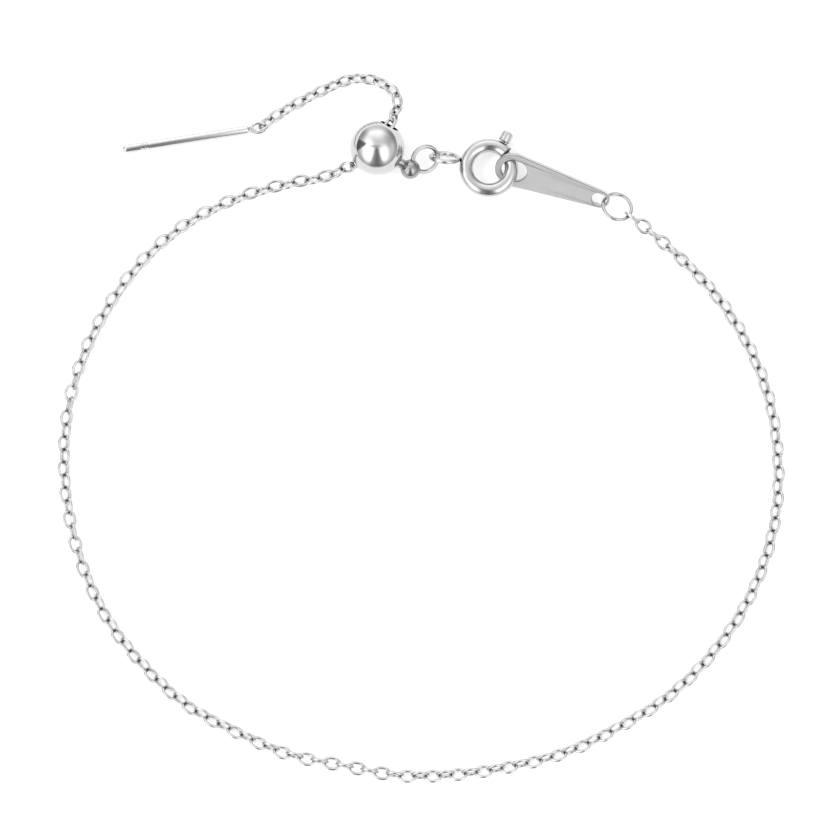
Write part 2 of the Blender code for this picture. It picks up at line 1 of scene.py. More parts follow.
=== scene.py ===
"""Looks of the chain bracelet: every link drawn out, finely turned findings and a pale studio.

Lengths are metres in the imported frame. The bracelet lies on z = 0 and is seen from above.
"""

import math

import bmesh
import bpy
from mathutils import Matrix, Vector


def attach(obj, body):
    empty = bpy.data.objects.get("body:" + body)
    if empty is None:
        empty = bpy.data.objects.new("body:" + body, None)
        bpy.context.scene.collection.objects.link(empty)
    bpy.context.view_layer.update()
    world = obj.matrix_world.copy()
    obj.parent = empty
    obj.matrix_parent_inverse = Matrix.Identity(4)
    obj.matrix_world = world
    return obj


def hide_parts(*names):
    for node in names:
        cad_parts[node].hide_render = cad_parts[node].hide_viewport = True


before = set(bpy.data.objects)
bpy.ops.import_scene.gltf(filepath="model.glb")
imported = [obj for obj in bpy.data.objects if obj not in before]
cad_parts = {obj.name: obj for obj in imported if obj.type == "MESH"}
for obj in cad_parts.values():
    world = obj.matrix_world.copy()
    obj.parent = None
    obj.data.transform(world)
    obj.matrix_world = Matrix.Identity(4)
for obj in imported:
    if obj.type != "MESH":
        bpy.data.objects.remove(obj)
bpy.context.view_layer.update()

MM = 0.001
DEGREE = math.radians(1.0)
WELD = 0.0002 * MM
QUARTER_TURN = 90.0 * DEGREE
FULL_TURN = 360.0 * DEGREE
UP = Vector((0.0, 0.0, 1.0))

# Photograph: its size, its scale and the pixel where the frame's origin lies
IMAGE_SIZE = 836
PIXEL = 0.1 * MM
ORIGIN_PIXEL = (421.75, 427.25)
FOCUS_HEIGHT = 0.9 * MM
LENS = 200.0
SENSOR = 36.0
CLIP_START = 10.0 * MM

# Chain: its links, the oval's fullness, and how far they lie beside the route by turns,
# which starts over the first and last few links
LINK_PITCH = 1.275 * MM
LINK_WIRE = 0.33 * MM
LINK_LENGTH = LINK_PITCH + 2 * LINK_WIRE
LINK_WIDTH = 1.45 * MM
OVAL_POWER = 0.9
CHAIN_RADIUS = 0.725 * MM
LINK_SWAY = 0.09 * MM
SWAY_FROM = 8
TAIL_ROLL = 45.0 * DEGREE
TAIL_HEIGHT = 0.60 * MM
TAIL_LEAD = 0.3625 * MM

# Slider bead: the ball, its bore with the gap between the two chain ends in it, and its eye
BEAD_RADIUS = 2.73 * MM
BEAD_PLACE = Vector((-4.45 * MM, 27.83 * MM, BEAD_RADIUS))
BORE_RADIUS = 0.95 * MM
BORE_OFFSET = 0.55 * MM
BORE_AZIMUTH = 47.5 * DEGREE
BORE_RISE = 12.0 * DEGREE
CHAIN_GAP = 0.30 * MM
CHAIN_MEET = 0.18 * MM
EYE_RADIUS = 0.98 * MM
EYE_STEM = 0.27 * MM
EYE_NECK_RADIUS = 0.50 * MM
EYE_NECK_ROUND = EYE_NECK_RADIUS / 4
EYE_AZIMUTH = -32.2 * DEGREE
EYE_DROP = 10.0 * DEGREE
EYE_WALL = 0.20 * MM
EYE_HOLE_PLAY = 0.08 * MM

# Jump ring between the bead's eye and the clasp
BEAD_RING_RADIUS = 1.33 * MM
BEAD_RING_WIRE_RADIUS = 0.215 * MM
BEAD_RING_AXIS = 45.0 * DEGREE
BEAD_RING_TILT = 31.0 * DEGREE
BEAD_RING_TURN = -12.0 * DEGREE

# Spring ring clasp: the tube with its gap, the bail, and the bolt with its trigger.
# Angles run round the clasp from its own X axis.
CLASP_RADIUS = 2.27 * MM
CLASP_TUBE_RADIUS = 0.69 * MM
CLASP_WALL = 0.15 * MM
CLASP_GAP_START = 17.0 * DEGREE
CLASP_GAP_END = 40.0 * DEGREE
CLASP_TILT_X = -7.0 * DEGREE
CLASP_TILT_Y = 0.9 * DEGREE
CLASP_BORE_PAST = 4.0 * DEGREE
BAIL_OUTER_RADIUS = 1.61 * MM
BAIL_WIRE_RADIUS = 0.24 * MM
BAIL_ANGLE = 167.0 * DEGREE
BAIL_SINK = 0.05 * MM
BAIL_PLAY = 0.27 * MM
BAIL_AXIS = -5.3 * DEGREE
BAIL_TILT = -69.0 * DEGREE
BAIL_AZIMUTH = 5.0 * DEGREE
BAIL_DROP = 9.5 * DEGREE
BOLT_RADIUS = 0.37 * MM
BOLT_REACH = 8.0 * DEGREE
BOLT_TAIL = 14.0 * DEGREE
BOLT_TRAVEL = 33.0 * DEGREE
TRIGGER_ANGLE = 61.0 * DEGREE
TRIGGER_RADIUS = 0.60 * MM
TRIGGER_HEIGHT = 1.05 * MM
TRIGGER_NECK_RADIUS = 0.20 * MM
TRIGGER_ROUND = 0.20 * MM
TRIGGER_FOOT_ROUND = 0.06 * MM
TRIGGER_LIFT = 0.08 * MM
SLOT_PLAY = 0.13 * MM

# End tab: two round ends a span apart, each with its hole
TAB_SPAN = 8.98 * MM
TAB_WIDE_RADIUS = 1.94 * MM
TAB_NARROW_RADIUS = 1.03 * MM
TAB_THICKNESS = 0.44 * MM
TAB_WIDE_HOLE_RADIUS = 1.31 * MM
TAB_NARROW_HOLE_RADIUS = 0.79 * MM
TAB_EDGE = 0.08 * MM
TAB_ROLL = 39.7 * DEGREE
TAB_AZIMUTH = -18.5 * DEGREE
TAB_PITCH = 2.9 * DEGREE
TAB_HOLE_ANGLE = -4.7 * DEGREE
TAB_HOLE_PLAY = 0.33 * MM
TAB_HOLE_LIFT = 0.01 * MM

# Jump ring between the tab and the chain
TAB_RING_RADIUS = 1.485 * MM
TAB_RING_WIRE_RADIUS = 0.185 * MM
TAB_RING_AXIS = -30.0 * DEGREE
TAB_RING_TILT = -31.0 * DEGREE
TAB_RING_TURN = 6.5 * DEGREE
TAB_RING_PLAY = 0.12 * MM
END_LINK_TURN = -7.0 * DEGREE
END_LINK_HOLD = 0.355 * MM
END_LINK_HALF = 0.80 * MM

# Threading needle: the bar, its two grooves and its oval eye on the tail's last link
NEEDLE_LENGTH = 13.08 * MM
NEEDLE_RADIUS = 0.435 * MM
NEEDLE_AZIMUTH = 189.0 * DEGREE
NEEDLE_SHOULDER = 0.45 * MM
GROOVE_PLACE = 2.20 * MM
GROOVE_WIDTH = 0.22 * MM
GROOVE_DEPTH = 0.09 * MM
NEEDLE_EYE_LENGTH = 1.75 * MM
NEEDLE_EYE_WIDTH = 1.40 * MM
NEEDLE_EYE_WIRE = 0.34 * MM
NEEDLE_EYE_SINK = 0.16 * MM
NEEDLE_EYE_ROLL = 150.0 * DEGREE
NEEDLE_EYE_PLACE = Vector((0.30 * MM, 0.08 * MM, -0.23 * MM))

# Fineness: steps along a curve or a profile, and sides around it
ROUTE_STEPS = 12
SEARCH_STEPS = 30
LINK_SEGMENTS = 28
LINK_SIDES = 10
RING_SEGMENTS = 72
RING_SIDES = 20
ROUND_STEPS = 8
BALL_STEPS = 72
BALL_SIDES = 144
BORE_SIDES = 72
EYE_STEPS = 40
EYE_SIDES = 80
EYE_NECK_SIDES = 48
CLASP_STEPS = 120
CLASP_SIDES = 32
CLASP_BORE_STEPS = 122
CLASP_BORE_SIDES = 24
SLOT_STEPS = 16
SLOT_SIDES = 20
BOLT_STEPS = 40
BOLT_SIDES = 24
TRIGGER_NECK_SIDES = 32
TRIGGER_SIDES = 40
TAB_WIDE_STEPS = 64
TAB_NARROW_STEPS = 32
NARROW_HOLE_STEPS = 48
TAB_EDGE_SEGMENTS = 4
NEEDLE_SIDES = 32
NEEDLE_TIP_STEPS = 12
NEEDLE_EYE_SEGMENTS = 48
NEEDLE_EYE_SIDES = 16

# Shading: angles that stay crisp, a face taken as level, and how near a surface counts as on it
SHARP = 35.0 * DEGREE
TAB_SHARP = 50.0 * DEGREE
TAB_RIM = 60.0 * DEGREE
NEEDLE_SHARP = 40.0 * DEGREE
LEVEL_FACE = 0.999
BALL_NEAR = 0.006
RING_NEAR = 0.02

# Routes of the long chain and of the tail, in millimetres, and the climbs to the bead's bore:
# share of the way and share of the height
MAIN_ROUTE = [
    (25.7, 17.1), (29.6, 13.0), (32.6, 8.3), (34.7, 3.0), (35.6, -2.6), (35.5, -8.2),
    (34.2, -13.7), (31.8, -18.8), (28.5, -23.3), (24.3, -27.2), (19.5, -30.1), (14.4, -32.5),
    (8.9, -33.9), (3.3, -34.7), (-2.3, -34.8), (-7.9, -33.8), (-13.3, -32.7), (-18.5, -30.5),
    (-23.5, -27.8), (-27.7, -24.0), (-31.2, -19.6), (-33.7, -14.5), (-35.2, -9.1),
    (-35.8, -3.5), (-35.3, 2.1), (-33.7, 7.5), (-31.1, 12.5), (-27.6, 17.0), (-23.3, 20.5),
    (-18.2, 23.0), (-12.7, 24.5), (-9.2, 25.2),
]
TAIL_ROUTE = [
    (-2.3, 32.4), (-2.5, 33.3), (-3.9, 34.4), (-5.4, 34.9), (-7.0, 34.9),
    (-8.9, 34.2), (-11.2, 33.1), (-13.4, 31.9), (-15.0, 30.9), (-16.2, 29.9),
]
MAIN_CLIMB = [(0.26, 0.06), (0.52, 0.32), (0.78, 0.70)]
TAIL_CLIMB = [(0.22, 0.84), (0.55, 0.42), (0.84, 0.10)]

# Roll of the long chain's links along its way: share of the way, roll of its even links
MAIN_ROLLS = [
    (0.00, 90.0), (0.03, 60.0), (0.06, 45.0), (0.28, 45.0), (0.34, 38.0), (0.37, 31.0),
    (0.45, 28.0), (0.465, 8.0), (0.495, 8.0), (0.526, 25.0), (0.557, 38.0), (0.589, 45.0),
    (0.62, 45.0), (0.667, 35.0), (0.69, 20.0), (0.703, 25.0), (0.713, 42.0), (0.744, 45.0),
    (0.757, 38.0), (0.768, 16.0), (0.776, 20.0), (0.785, 38.0), (0.84, 38.0), (0.90, 32.0),
    (0.93, 30.0), (1.00, 40.0),
]


def move_to_scene(name, mesh):
    """A new object of the scene that holds the mesh."""
    obj = bpy.data.objects.new(name, mesh)
    bpy.context.scene.collection.objects.link(obj)
    return obj


def tilted(centre, axis_azimuth, tilt):
    """Frame of a flat ring: local X is its level axis, and local Y is raised by the tilt."""
    turn = Matrix.Rotation(axis_azimuth, 4, "Z") @ Matrix.Rotation(tilt, 4, "X")
    return Matrix.Translation(centre) @ turn


def direction(azimuth, rise=0.0):
    """Unit vector from its azimuth and its angle over the level."""
    level = math.cos(rise)
    return Vector((level * math.cos(azimuth), level * math.sin(azimuth), math.sin(rise)))


def along(axis_x, centre):
    """Frame whose local X runs along axis_x, with local Z as near to up as it can be."""
    x = axis_x.normalized()
    y = UP.cross(x).normalized()
    z = x.cross(y)
    turn = Matrix((x, y, z)).transposed().to_4x4()
    return Matrix.Translation(centre) @ turn


def rolled(axis_x, centre, roll):
    """Frame whose local X runs along axis_x, turned about it by the roll."""
    return along(axis_x, centre) @ Matrix.Rotation(roll, 4, "X")


def standing(axis, centre):
    """Frame whose local Z runs along the axis, for a turned piece."""
    return along(axis, centre) @ Matrix.Rotation(QUARTER_TURN, 4, "Y")


def arc_points(radius, start, end, steps):
    points = []
    for step in range(steps + 1):
        angle = start + (end - start) * step / steps
        points.append(Vector((radius * math.cos(angle), radius * math.sin(angle), 0.0)))
    return points


def smooth_route(points, steps, ground):
    """Points read from one smooth curve through the route's own points, held up by the ground."""
    count = len(points)
    tangents = []
    for index in range(count):
        before = points[max(index - 1, 0)]
        here = points[index]
        after = points[min(index + 1, count - 1)]
        first = (here - before).length
        second = (after - here).length
        if first == 0.0:
            tangents.append((after - here) / second)
        elif second == 0.0:
            tangents.append((here - before) / first)
        else:
            leaving = (after - here) / second
            arriving = (here - before) / first
            tangents.append((arriving * second + leaving * first) / (first + second))
    result = []
    for index in range(count - 1):
        start = points[index]
        end = points[index + 1]
        span = (end - start).length
        for step in range(steps):
            t = step / steps
            rise = t * t * (3.0 - 2.0 * t)
            bend_out = t * (1.0 - t) ** 2 * span
            bend_in = t * t * (t - 1.0) * span
            point = start.lerp(end, rise)
            point += tangents[index] * bend_out + tangents[index + 1] * bend_in
            point.z = max(point.z, ground)
            result.append(point)
    result.append(points[-1].copy())
    return result


def stations(points, pitch):
    """Places one pitch apart, measured straight from each to the next, along a dense route."""
    places = [points[0].copy()]
    for start, end in zip(points, points[1:]):
        while (end - places[-1]).length >= pitch:
            last = places[-1]
            low, high = 0.0, 1.0
            for _ in range(SEARCH_STEPS):
                middle = (low + high) / 2
                if (start.lerp(end, middle) - last).length < pitch:
                    low = middle
                else:
                    high = middle
            places.append(start.lerp(end, high))
            start = places[-1]
    return places


def climb(ground, mouth, shares, height):
    """Points of a chain's way up from the ground to a mouth of the bead's bore."""
    points = []
    for way, rise in shares:
        point = ground.lerp(mouth, way)
        point.z = height + (mouth.z - height) * rise
        points.append(point)
    return points


# Places worked out from the sizes, from the bead outwards

bore_axis = direction(BORE_AZIMUTH, BORE_RISE)
bore_middle = BEAD_PLACE + direction(BORE_AZIMUTH + QUARTER_TURN) * BORE_OFFSET
bore_half = math.sqrt(BEAD_RADIUS**2 - BORE_OFFSET**2)
eye_direction = direction(EYE_AZIMUTH, -EYE_DROP)
eye_centre = BEAD_PLACE + eye_direction * (BEAD_RADIUS + EYE_STEM + EYE_RADIUS)
eye_hole = BEAD_RING_WIRE_RADIUS + EYE_HOLE_PLAY
bead_ring_turn = tilted(Vector(), BEAD_RING_AXIS, BEAD_RING_TILT)
bead_ring_reach = EYE_RADIUS - EYE_WALL - eye_hole + BEAD_RING_RADIUS
bead_ring_centre = eye_centre + bead_ring_turn @ direction(BEAD_RING_TURN) * bead_ring_reach
bead_ring_frame = tilted(bead_ring_centre, BEAD_RING_AXIS, BEAD_RING_TILT)

bail_radius = BAIL_OUTER_RADIUS - BAIL_WIRE_RADIUS
bail_reach = BEAD_RING_RADIUS + bail_radius - BEAD_RING_WIRE_RADIUS - BAIL_WIRE_RADIUS - BAIL_PLAY
bail_centre = bead_ring_centre + direction(BAIL_AZIMUTH, -BAIL_DROP) * bail_reach
bail_distance = CLASP_RADIUS + CLASP_TUBE_RADIUS + BAIL_OUTER_RADIUS - BAIL_SINK
clasp_turn = Matrix.Rotation(CLASP_TILT_X, 4, "X") @ Matrix.Rotation(CLASP_TILT_Y, 4, "Y")
clasp_centre = bail_centre - clasp_turn @ (direction(BAIL_ANGLE) * bail_distance)
clasp_frame = Matrix.Translation(clasp_centre) @ clasp_turn

tab_turn = (
    Matrix.Rotation(TAB_AZIMUTH, 4, "Z")
    @ Matrix.Rotation(TAB_PITCH, 4, "Y")
    @ Matrix.Rotation(TAB_ROLL, 4, "X")
)
tab_hole_reach = CLASP_RADIUS + TAB_WIDE_HOLE_RADIUS - CLASP_TUBE_RADIUS - TAB_HOLE_PLAY
tab_hole_place = direction(TAB_HOLE_ANGLE) * tab_hole_reach + Vector((0.0, 0.0, TAB_HOLE_LIFT))
tab_frame = Matrix.Translation(clasp_frame @ tab_hole_place) @ tab_turn

tab_ring_turn = tilted(Vector(), TAB_RING_AXIS, TAB_RING_TILT)
tab_ring_offset = TAB_NARROW_HOLE_RADIUS - TAB_RING_WIRE_RADIUS - TAB_RING_PLAY + TAB_RING_RADIUS
tab_narrow_centre = tab_frame @ Vector((TAB_SPAN, 0.0, 0.0))
tab_ring_centre = tab_narrow_centre + tab_ring_turn @ direction(TAB_RING_TURN) * tab_ring_offset
tab_ring_frame = tilted(tab_ring_centre, TAB_RING_AXIS, TAB_RING_TILT)
end_link_reach = tab_ring_turn @ direction(END_LINK_TURN)
end_link_direction = Vector((end_link_reach.x, end_link_reach.y, 0.0)).normalized()
end_link_centre = tab_ring_centre + end_link_reach * TAB_RING_RADIUS
end_link_centre = end_link_centre + end_link_direction * END_LINK_HOLD


def main_chain_route():
    """The long chain's way: from its end link round on the ground, then up into the bead."""
    start = end_link_centre + end_link_direction * END_LINK_HALF
    ground = [Vector((x * MM, y * MM, CHAIN_RADIUS)) for x, y in MAIN_ROUTE]
    mouth = bore_middle - bore_axis * bore_half
    end = bore_middle + bore_axis * (CHAIN_MEET - CHAIN_GAP / 2)
    return [start, *ground, *climb(ground[-1], mouth, MAIN_CLIMB, CHAIN_RADIUS), mouth, end]


def tail_chain_route():
    """The tail's way: out of the bead's other mouth and down to the needle."""
    ground = [Vector((x * MM, y * MM, TAIL_HEIGHT)) for x, y in TAIL_ROUTE]
    mouth = bore_middle + bore_axis * bore_half
    first_place = CHAIN_MEET + CHAIN_GAP / 2 + TAIL_LEAD
    start = bore_middle + bore_axis * first_place
    shares = [(1.0 - way, rise) for way, rise in TAIL_CLIMB]
    return [start, mouth, *climb(ground[0], mouth, shares, TAIL_HEIGHT), *ground]


# Meshes

def ring_rows(segments, sides, major, minor, stretch=0.0):
    """Points and faces of a ring that is drawn out along X into an oval by the stretch."""
    points = []
    for segment in range(segments):
        angle = FULL_TURN * (segment + 0.5) / segments
        shift = math.copysign(stretch * abs(math.cos(angle)) ** OVAL_POWER, math.cos(angle))
        for side in range(sides):
            around = FULL_TURN * side / sides
            reach = major + minor * math.cos(around)
            x = reach * math.cos(angle) + shift
            points.append(Vector((x, reach * math.sin(angle), minor * math.sin(around))))
    faces = []
    for segment in range(segments):
        ahead = (segment + 1) % segments
        for side in range(sides):
            beside = (side + 1) % sides
            faces.append((
                segment * sides + side,
                ahead * sides + side,
                ahead * sides + beside,
                segment * sides + beside,
            ))
    return points, faces


def mesh_from(name, points, faces):
    mesh = bpy.data.meshes.new(name)
    mesh.from_pydata(points, [], faces)
    mesh.shade_smooth()
    return mesh


def ring_piece(
    name, matrix, major, minor, segments=RING_SEGMENTS, sides=RING_SIDES, stretch=0.0
):
    points, faces = ring_rows(segments, sides, major, minor, stretch)
    obj = move_to_scene(name, mesh_from(name, points, faces))
    obj.matrix_world = matrix
    return obj


def tube_piece(name, points, radius, sides, matrix):
    """A round tube with flat ends along points that lie in one plane z = 0."""
    rows = []
    for index, point in enumerate(points):
        before = points[max(index - 1, 0)]
        after = points[min(index + 1, len(points) - 1)]
        level = (after - before).normalized()
        out = Vector((level.y, -level.x, 0.0))
        for side in range(sides):
            around = FULL_TURN * side / sides
            rows.append(point + out * radius * math.cos(around) + UP * radius * math.sin(around))
    faces = []
    for index in range(len(points) - 1):
        for side in range(sides):
            beside = (side + 1) % sides
            low = index * sides
            high = low + sides
            faces.append((low + side, high + side, high + beside, low + beside))
    faces.append(tuple(range(sides)))
    last = (len(points) - 1) * sides
    faces.append(tuple(last + side for side in reversed(range(sides))))
    obj = move_to_scene(name, mesh_from(name, rows, faces))
    obj.matrix_world = matrix
    return obj


def turned_piece(name, profile, sides, matrix):
    """A turned solid from pairs of radius and height, closed at both ends on its axis."""
    rows = []
    for radius, height in profile[1:-1]:
        for side in range(sides):
            around = FULL_TURN * side / sides
            rows.append(Vector((radius * math.cos(around), radius * math.sin(around), height)))
    faces = []
    for row in range(len(profile) - 3):
        for side in range(sides):
            beside = (side + 1) % sides
            low = row * sides
            high = low + sides
            faces.append((low + side, low + beside, high + beside, high + side))
    bottom = len(rows)
    rows.append(Vector((0.0, 0.0, profile[0][1])))
    rows.append(Vector((0.0, 0.0, profile[-1][1])))
    last = (len(profile) - 3) * sides
    for side in range(sides):
        beside = (side + 1) % sides
        faces.append((bottom, beside, side))
        faces.append((bottom + 1, last + side, last + beside))
    obj = move_to_scene(name, mesh_from(name, rows, faces))
    obj.matrix_world = matrix
    return obj


def ball_profile(radius, steps):
    """Half a circle of radius and height pairs, from the lowest point to the highest."""
    profile = []
    for step in range(steps + 1):
        angle = math.pi * step / steps - QUARTER_TURN
        profile.append((radius * math.cos(angle), radius * math.sin(angle)))
    return profile


def rounded_profile(radius, bottom, top, round_bottom, round_top):
    """A cylinder from bottom to top with rounded rims."""
    profile = [(0.0, bottom)]
    for step in range(ROUND_STEPS + 1):
        angle = QUARTER_TURN * step / ROUND_STEPS
        reach = radius - round_bottom + round_bottom * math.sin(angle)
        profile.append((reach, bottom + round_bottom - round_bottom * math.cos(angle)))
    for step in range(ROUND_STEPS + 1):
        angle = QUARTER_TURN * step / ROUND_STEPS
        reach = radius - round_top + round_top * math.cos(angle)
        profile.append((reach, top - round_top + round_top * math.sin(angle)))
    profile.append((0.0, top))
    return profile


def combine(target, *steps):
    """Carry out exact unions and cuts, then keep the result as the target's own mesh."""
    for operation, operand in steps:
        modifier = target.modifiers.new(operand.name, "BOOLEAN")
        modifier.operation = operation
        modifier.solver = "EXACT"
        modifier.object = operand
    bpy.context.view_layer.update()
    depsgraph = bpy.context.evaluated_depsgraph_get()
    mesh = bpy.data.meshes.new_from_object(target.evaluated_get(depsgraph), depsgraph=depsgraph)
    solid = bmesh.new()
    solid.from_mesh(mesh)
    bmesh.ops.remove_doubles(solid, verts=solid.verts, dist=WELD)
    solid.to_mesh(mesh)
    solid.free()
    target.modifiers.clear()
    target.data = mesh
    for _, operand in steps:
        bpy.data.objects.remove(operand, do_unlink=True)


def ball_surface(centre, radius):
    """Normal of a ball at a point near its surface, or nothing further off."""
    def normal(point):
        out = point - centre
        return out / out.length if abs(out.length - radius) < BALL_NEAR * radius else None
    return normal


def ring_surface(matrix, major, minor):
    """Normal of a round ring, in the place that the matrix gives it."""
    inverse = matrix.inverted()
    turn = matrix.to_3x3()

    def normal(point):
        local = inverse @ point
        middle = Vector((local.x, local.y, 0.0))
        if middle.length == 0.0:
            return None
        out = local - middle.normalized() * major
        near = abs(out.length - minor) < RING_NEAR * minor
        return (turn @ out).normalized() if near else None
    return normal


def shade(obj, surfaces=(), sharp=SHARP):
    """Smooth shading that is exact on the named surfaces and keeps the crisp edges."""
    mesh = obj.data
    mesh.shade_smooth()
    mesh.set_sharp_from_angle(angle=sharp)
    if not surfaces:
        return
    world = obj.matrix_world
    back = world.to_3x3().inverted()
    points = [world @ vertex.co for vertex in mesh.vertices]
    normals = [Vector((0.0, 0.0, 0.0))] * len(mesh.loops)
    for polygon in mesh.polygons:
        for surface in surfaces:
            found = [surface(points[index]) for index in polygon.vertices]
            if None in found:
                continue
            facing = world.to_3x3() @ polygon.normal
            flip = -1.0 if facing.dot(found[0]) < 0.0 else 1.0
            for loop_index, normal in zip(polygon.loop_indices, found):
                normals[loop_index] = back @ (normal * flip)
            break
    mesh.normals_split_custom_set([normal[:] for normal in normals])


# Materials

BLACK = (0.0, 0.0, 0.0)
STEEL_TONE = (0.52, 0.52, 0.52)
RING_TONE = (0.44, 0.44, 0.44)
CLASP_TONE = (0.485, 0.485, 0.485)
SATIN_TONE = (0.62, 0.62, 0.62)
DRAWN_TONE = (0.60, 0.60, 0.60)

# Least and greatest roughness, and the depth of dents, grain and scratches
POLISH = (0.05, 0.11)
DRAWN_POLISH = (0.09, 0.14)
TUMBLED_POLISH = (0.07, 0.15)
SATIN_POLISH = (0.42, 0.58)
POLISH_RELIEF = (0.0016 * MM, 0.0002 * MM, 0.0003 * MM)
TUMBLED_RELIEF = (0.0060 * MM, 0.0006 * MM, 0.0004 * MM)
SATIN_RELIEF = 0.0010 * MM

# Sizes of the patterns, in waves to the millimetre, and the directions of the scratches
CLOUD_WAVES = 1.6
DENT_WAVES = 2.4
GRAIN_WAVES = 14.0
SCRATCH_WAVES = (0.8, 30.0, 30.0)
SCRATCH_TURNS = (25.0 * DEGREE, 110.0 * DEGREE)
SCRATCH_RANGE = (0.58, 0.75)
SATIN_CLOUD_WAVES = 0.9
SATIN_GRAIN_WAVES = (8.0, 26.0, 26.0)

# Least share of the brightness that dull patches and painted shade keep, and where the painted shade
# ends: painted shade where pieces nearly meet, on the bead's knob, along the clasp's mouth and along the
# tab's rounded edges
CLOUD_SHARE = 0.93
SATIN_CLOUD_SHARE = 0.95
SATIN_GRAIN_SHARE = 0.94
CREVICE_SHADE_REACH = 0.45 * MM
CREVICE_SHADE_SAMPLES = 8
CREVICE_SHADE_TONE = 0.30
CREVICE_SHADE_OPEN = (0.25, 0.75)
# Painted shade on the bead's knob and its neck
KNOB_SHADE_TONE = 0.58
KNOB_SHADE_REACH = (1.05, 1.45)
# Painted shade along the clasp's mouth
SEAM_SHADE_TONE = 0.15
SEAM_SHADE_WIDTH = 0.16 * MM
SEAM_SHADE_REACH = (1.1, 1.6)
# Painted shade along the tab's rounded edges
RIM_SHADE_TONE = 0.32
RIM_SHADE_REACH = (0.30, 0.49)


def math_node(tree, operation, *values):
    node = tree.nodes.new("ShaderNodeMath")
    node.operation = operation
    for socket, value in zip(node.inputs, values):
        if isinstance(value, float):
            socket.default_value = value
        else:
            tree.links.new(value, socket)
    return node.outputs["Value"]


def new_material(name):
    material = bpy.data.materials.new(name)
    material.use_nodes = True
    tree = material.node_tree
    return material, tree, tree.nodes["Principled BSDF"]


def noise(tree, vector, scale, detail, roughness=0.5):
    node = tree.nodes.new("ShaderNodeTexNoise")
    node.inputs["Scale"].default_value = scale
    node.inputs["Detail"].default_value = detail
    node.inputs["Roughness"].default_value = roughness
    tree.links.new(vector, node.inputs["Vector"])
    return node.outputs["Fac"]


def mapped(tree, scale, turn=0.0):
    """Object coordinates in millimetres, turned about Z and then drawn out along the axes."""
    place = tree.nodes.new("ShaderNodeTexCoord")
    rotate = tree.nodes.new("ShaderNodeMapping")
    rotate.inputs["Rotation"].default_value = (0.0, 0.0, turn)
    tree.links.new(place.outputs["Object"], rotate.inputs["Vector"])
    stretch = tree.nodes.new("ShaderNodeMapping")
    stretch.inputs["Scale"].default_value = [share / MM for share in scale]
    tree.links.new(rotate.outputs["Vector"], stretch.inputs["Vector"])
    return stretch.outputs["Vector"]


def spread(tree, value, low, high, start=0.3, end=0.7):
    """Low at the start and high at the end, evenly between them."""
    node = tree.nodes.new("ShaderNodeMapRange")
    node.inputs["From Min"].default_value = start
    node.inputs["From Max"].default_value = end
    node.inputs["To Min"].default_value = low
    node.inputs["To Max"].default_value = high
    tree.links.new(value, node.inputs["Value"])
    return node.outputs["Result"]


def bump(tree, height, distance, below=None):
    node = tree.nodes.new("ShaderNodeBump")
    node.inputs["Strength"].default_value = 1.0
    node.inputs["Distance"].default_value = distance
    tree.links.new(height, node.inputs["Height"])
    if below is not None:
        tree.links.new(below, node.inputs["Normal"])
    return node.outputs["Normal"]


def painted_crevice_shade(tree):
    """Painted shade: share of the bare metal's brightness that is kept, least where pieces nearly meet.
    """
    node = tree.nodes.new("ShaderNodeAmbientOcclusion")
    node.samples = CREVICE_SHADE_SAMPLES
    node.inputs["Distance"].default_value = CREVICE_SHADE_REACH
    return spread(tree, node.outputs["AO"], CREVICE_SHADE_TONE, 1.0, *CREVICE_SHADE_OPEN)


def tint(tree, shader, value, dark, light):
    mix = tree.nodes.new("ShaderNodeMix")
    mix.data_type = "RGBA"
    mix.inputs["A"].default_value = (*dark, 1.0)
    mix.inputs["B"].default_value = (*light, 1.0)
    tree.links.new(value, mix.inputs["Factor"])
    tree.links.new(mix.outputs["Result"], shader.inputs["Base Color"])


def measured(tree, operation, point, axis=None):
    """Distance from a point, or height over the plane through it where an axis is given."""
    place = tree.nodes.new("ShaderNodeTexCoord")
    away = tree.nodes.new("ShaderNodeVectorMath")
    away.operation = "SUBTRACT"
    away.inputs[1].default_value = point
    tree.links.new(place.outputs["Object"], away.inputs[0])
    measure = tree.nodes.new("ShaderNodeVectorMath")
    measure.operation = operation
    tree.links.new(away.outputs["Vector"], measure.inputs[0])
    if axis is not None:
        measure.inputs[1].default_value = axis
    return measure.outputs["Value"]


def faded(tree, value, start, end, low=0.0):
    """The low share up to the start, rising smoothly to one at the end."""
    node = tree.nodes.new("ShaderNodeMapRange")
    node.interpolation_type = "SMOOTHSTEP"
    node.inputs["From Min"].default_value = start
    node.inputs["From Max"].default_value = end
    node.inputs["To Min"].default_value = low
    tree.links.new(value, node.inputs["Value"])
    return node.outputs["Result"]


def knob_painted_shade(tree):
    """Painted shade on the knob and its neck: share of the bead's brightness they keep, by distance from
    the knob.
    """
    away = measured(tree, "LENGTH", eye_centre)
    start, end = KNOB_SHADE_REACH
    return faded(tree, away, EYE_RADIUS * start, EYE_RADIUS * end, KNOB_SHADE_TONE)


def seam_painted_shade(tree):
    """Painted shade along the clasp's mouth, where the bolt comes out of the tube: share of brightness
    kept.
    """
    mouth = clasp_frame @ (direction(CLASP_GAP_END) * CLASP_RADIUS)
    tangent = clasp_frame.to_3x3() @ direction(CLASP_GAP_END + QUARTER_TURN)
    depth = math_node(tree, "ABSOLUTE", measured(tree, "DOT_PRODUCT", mouth, tangent))
    line = faded(tree, depth, SEAM_SHADE_WIDTH / 2, SEAM_SHADE_WIDTH, SEAM_SHADE_TONE)
    start, end = SEAM_SHADE_REACH
    far = faded(tree, measured(tree, "LENGTH", mouth), CLASP_TUBE_RADIUS * start, CLASP_TUBE_RADIUS * end)
    return math_node(tree, "MAXIMUM", line, far)


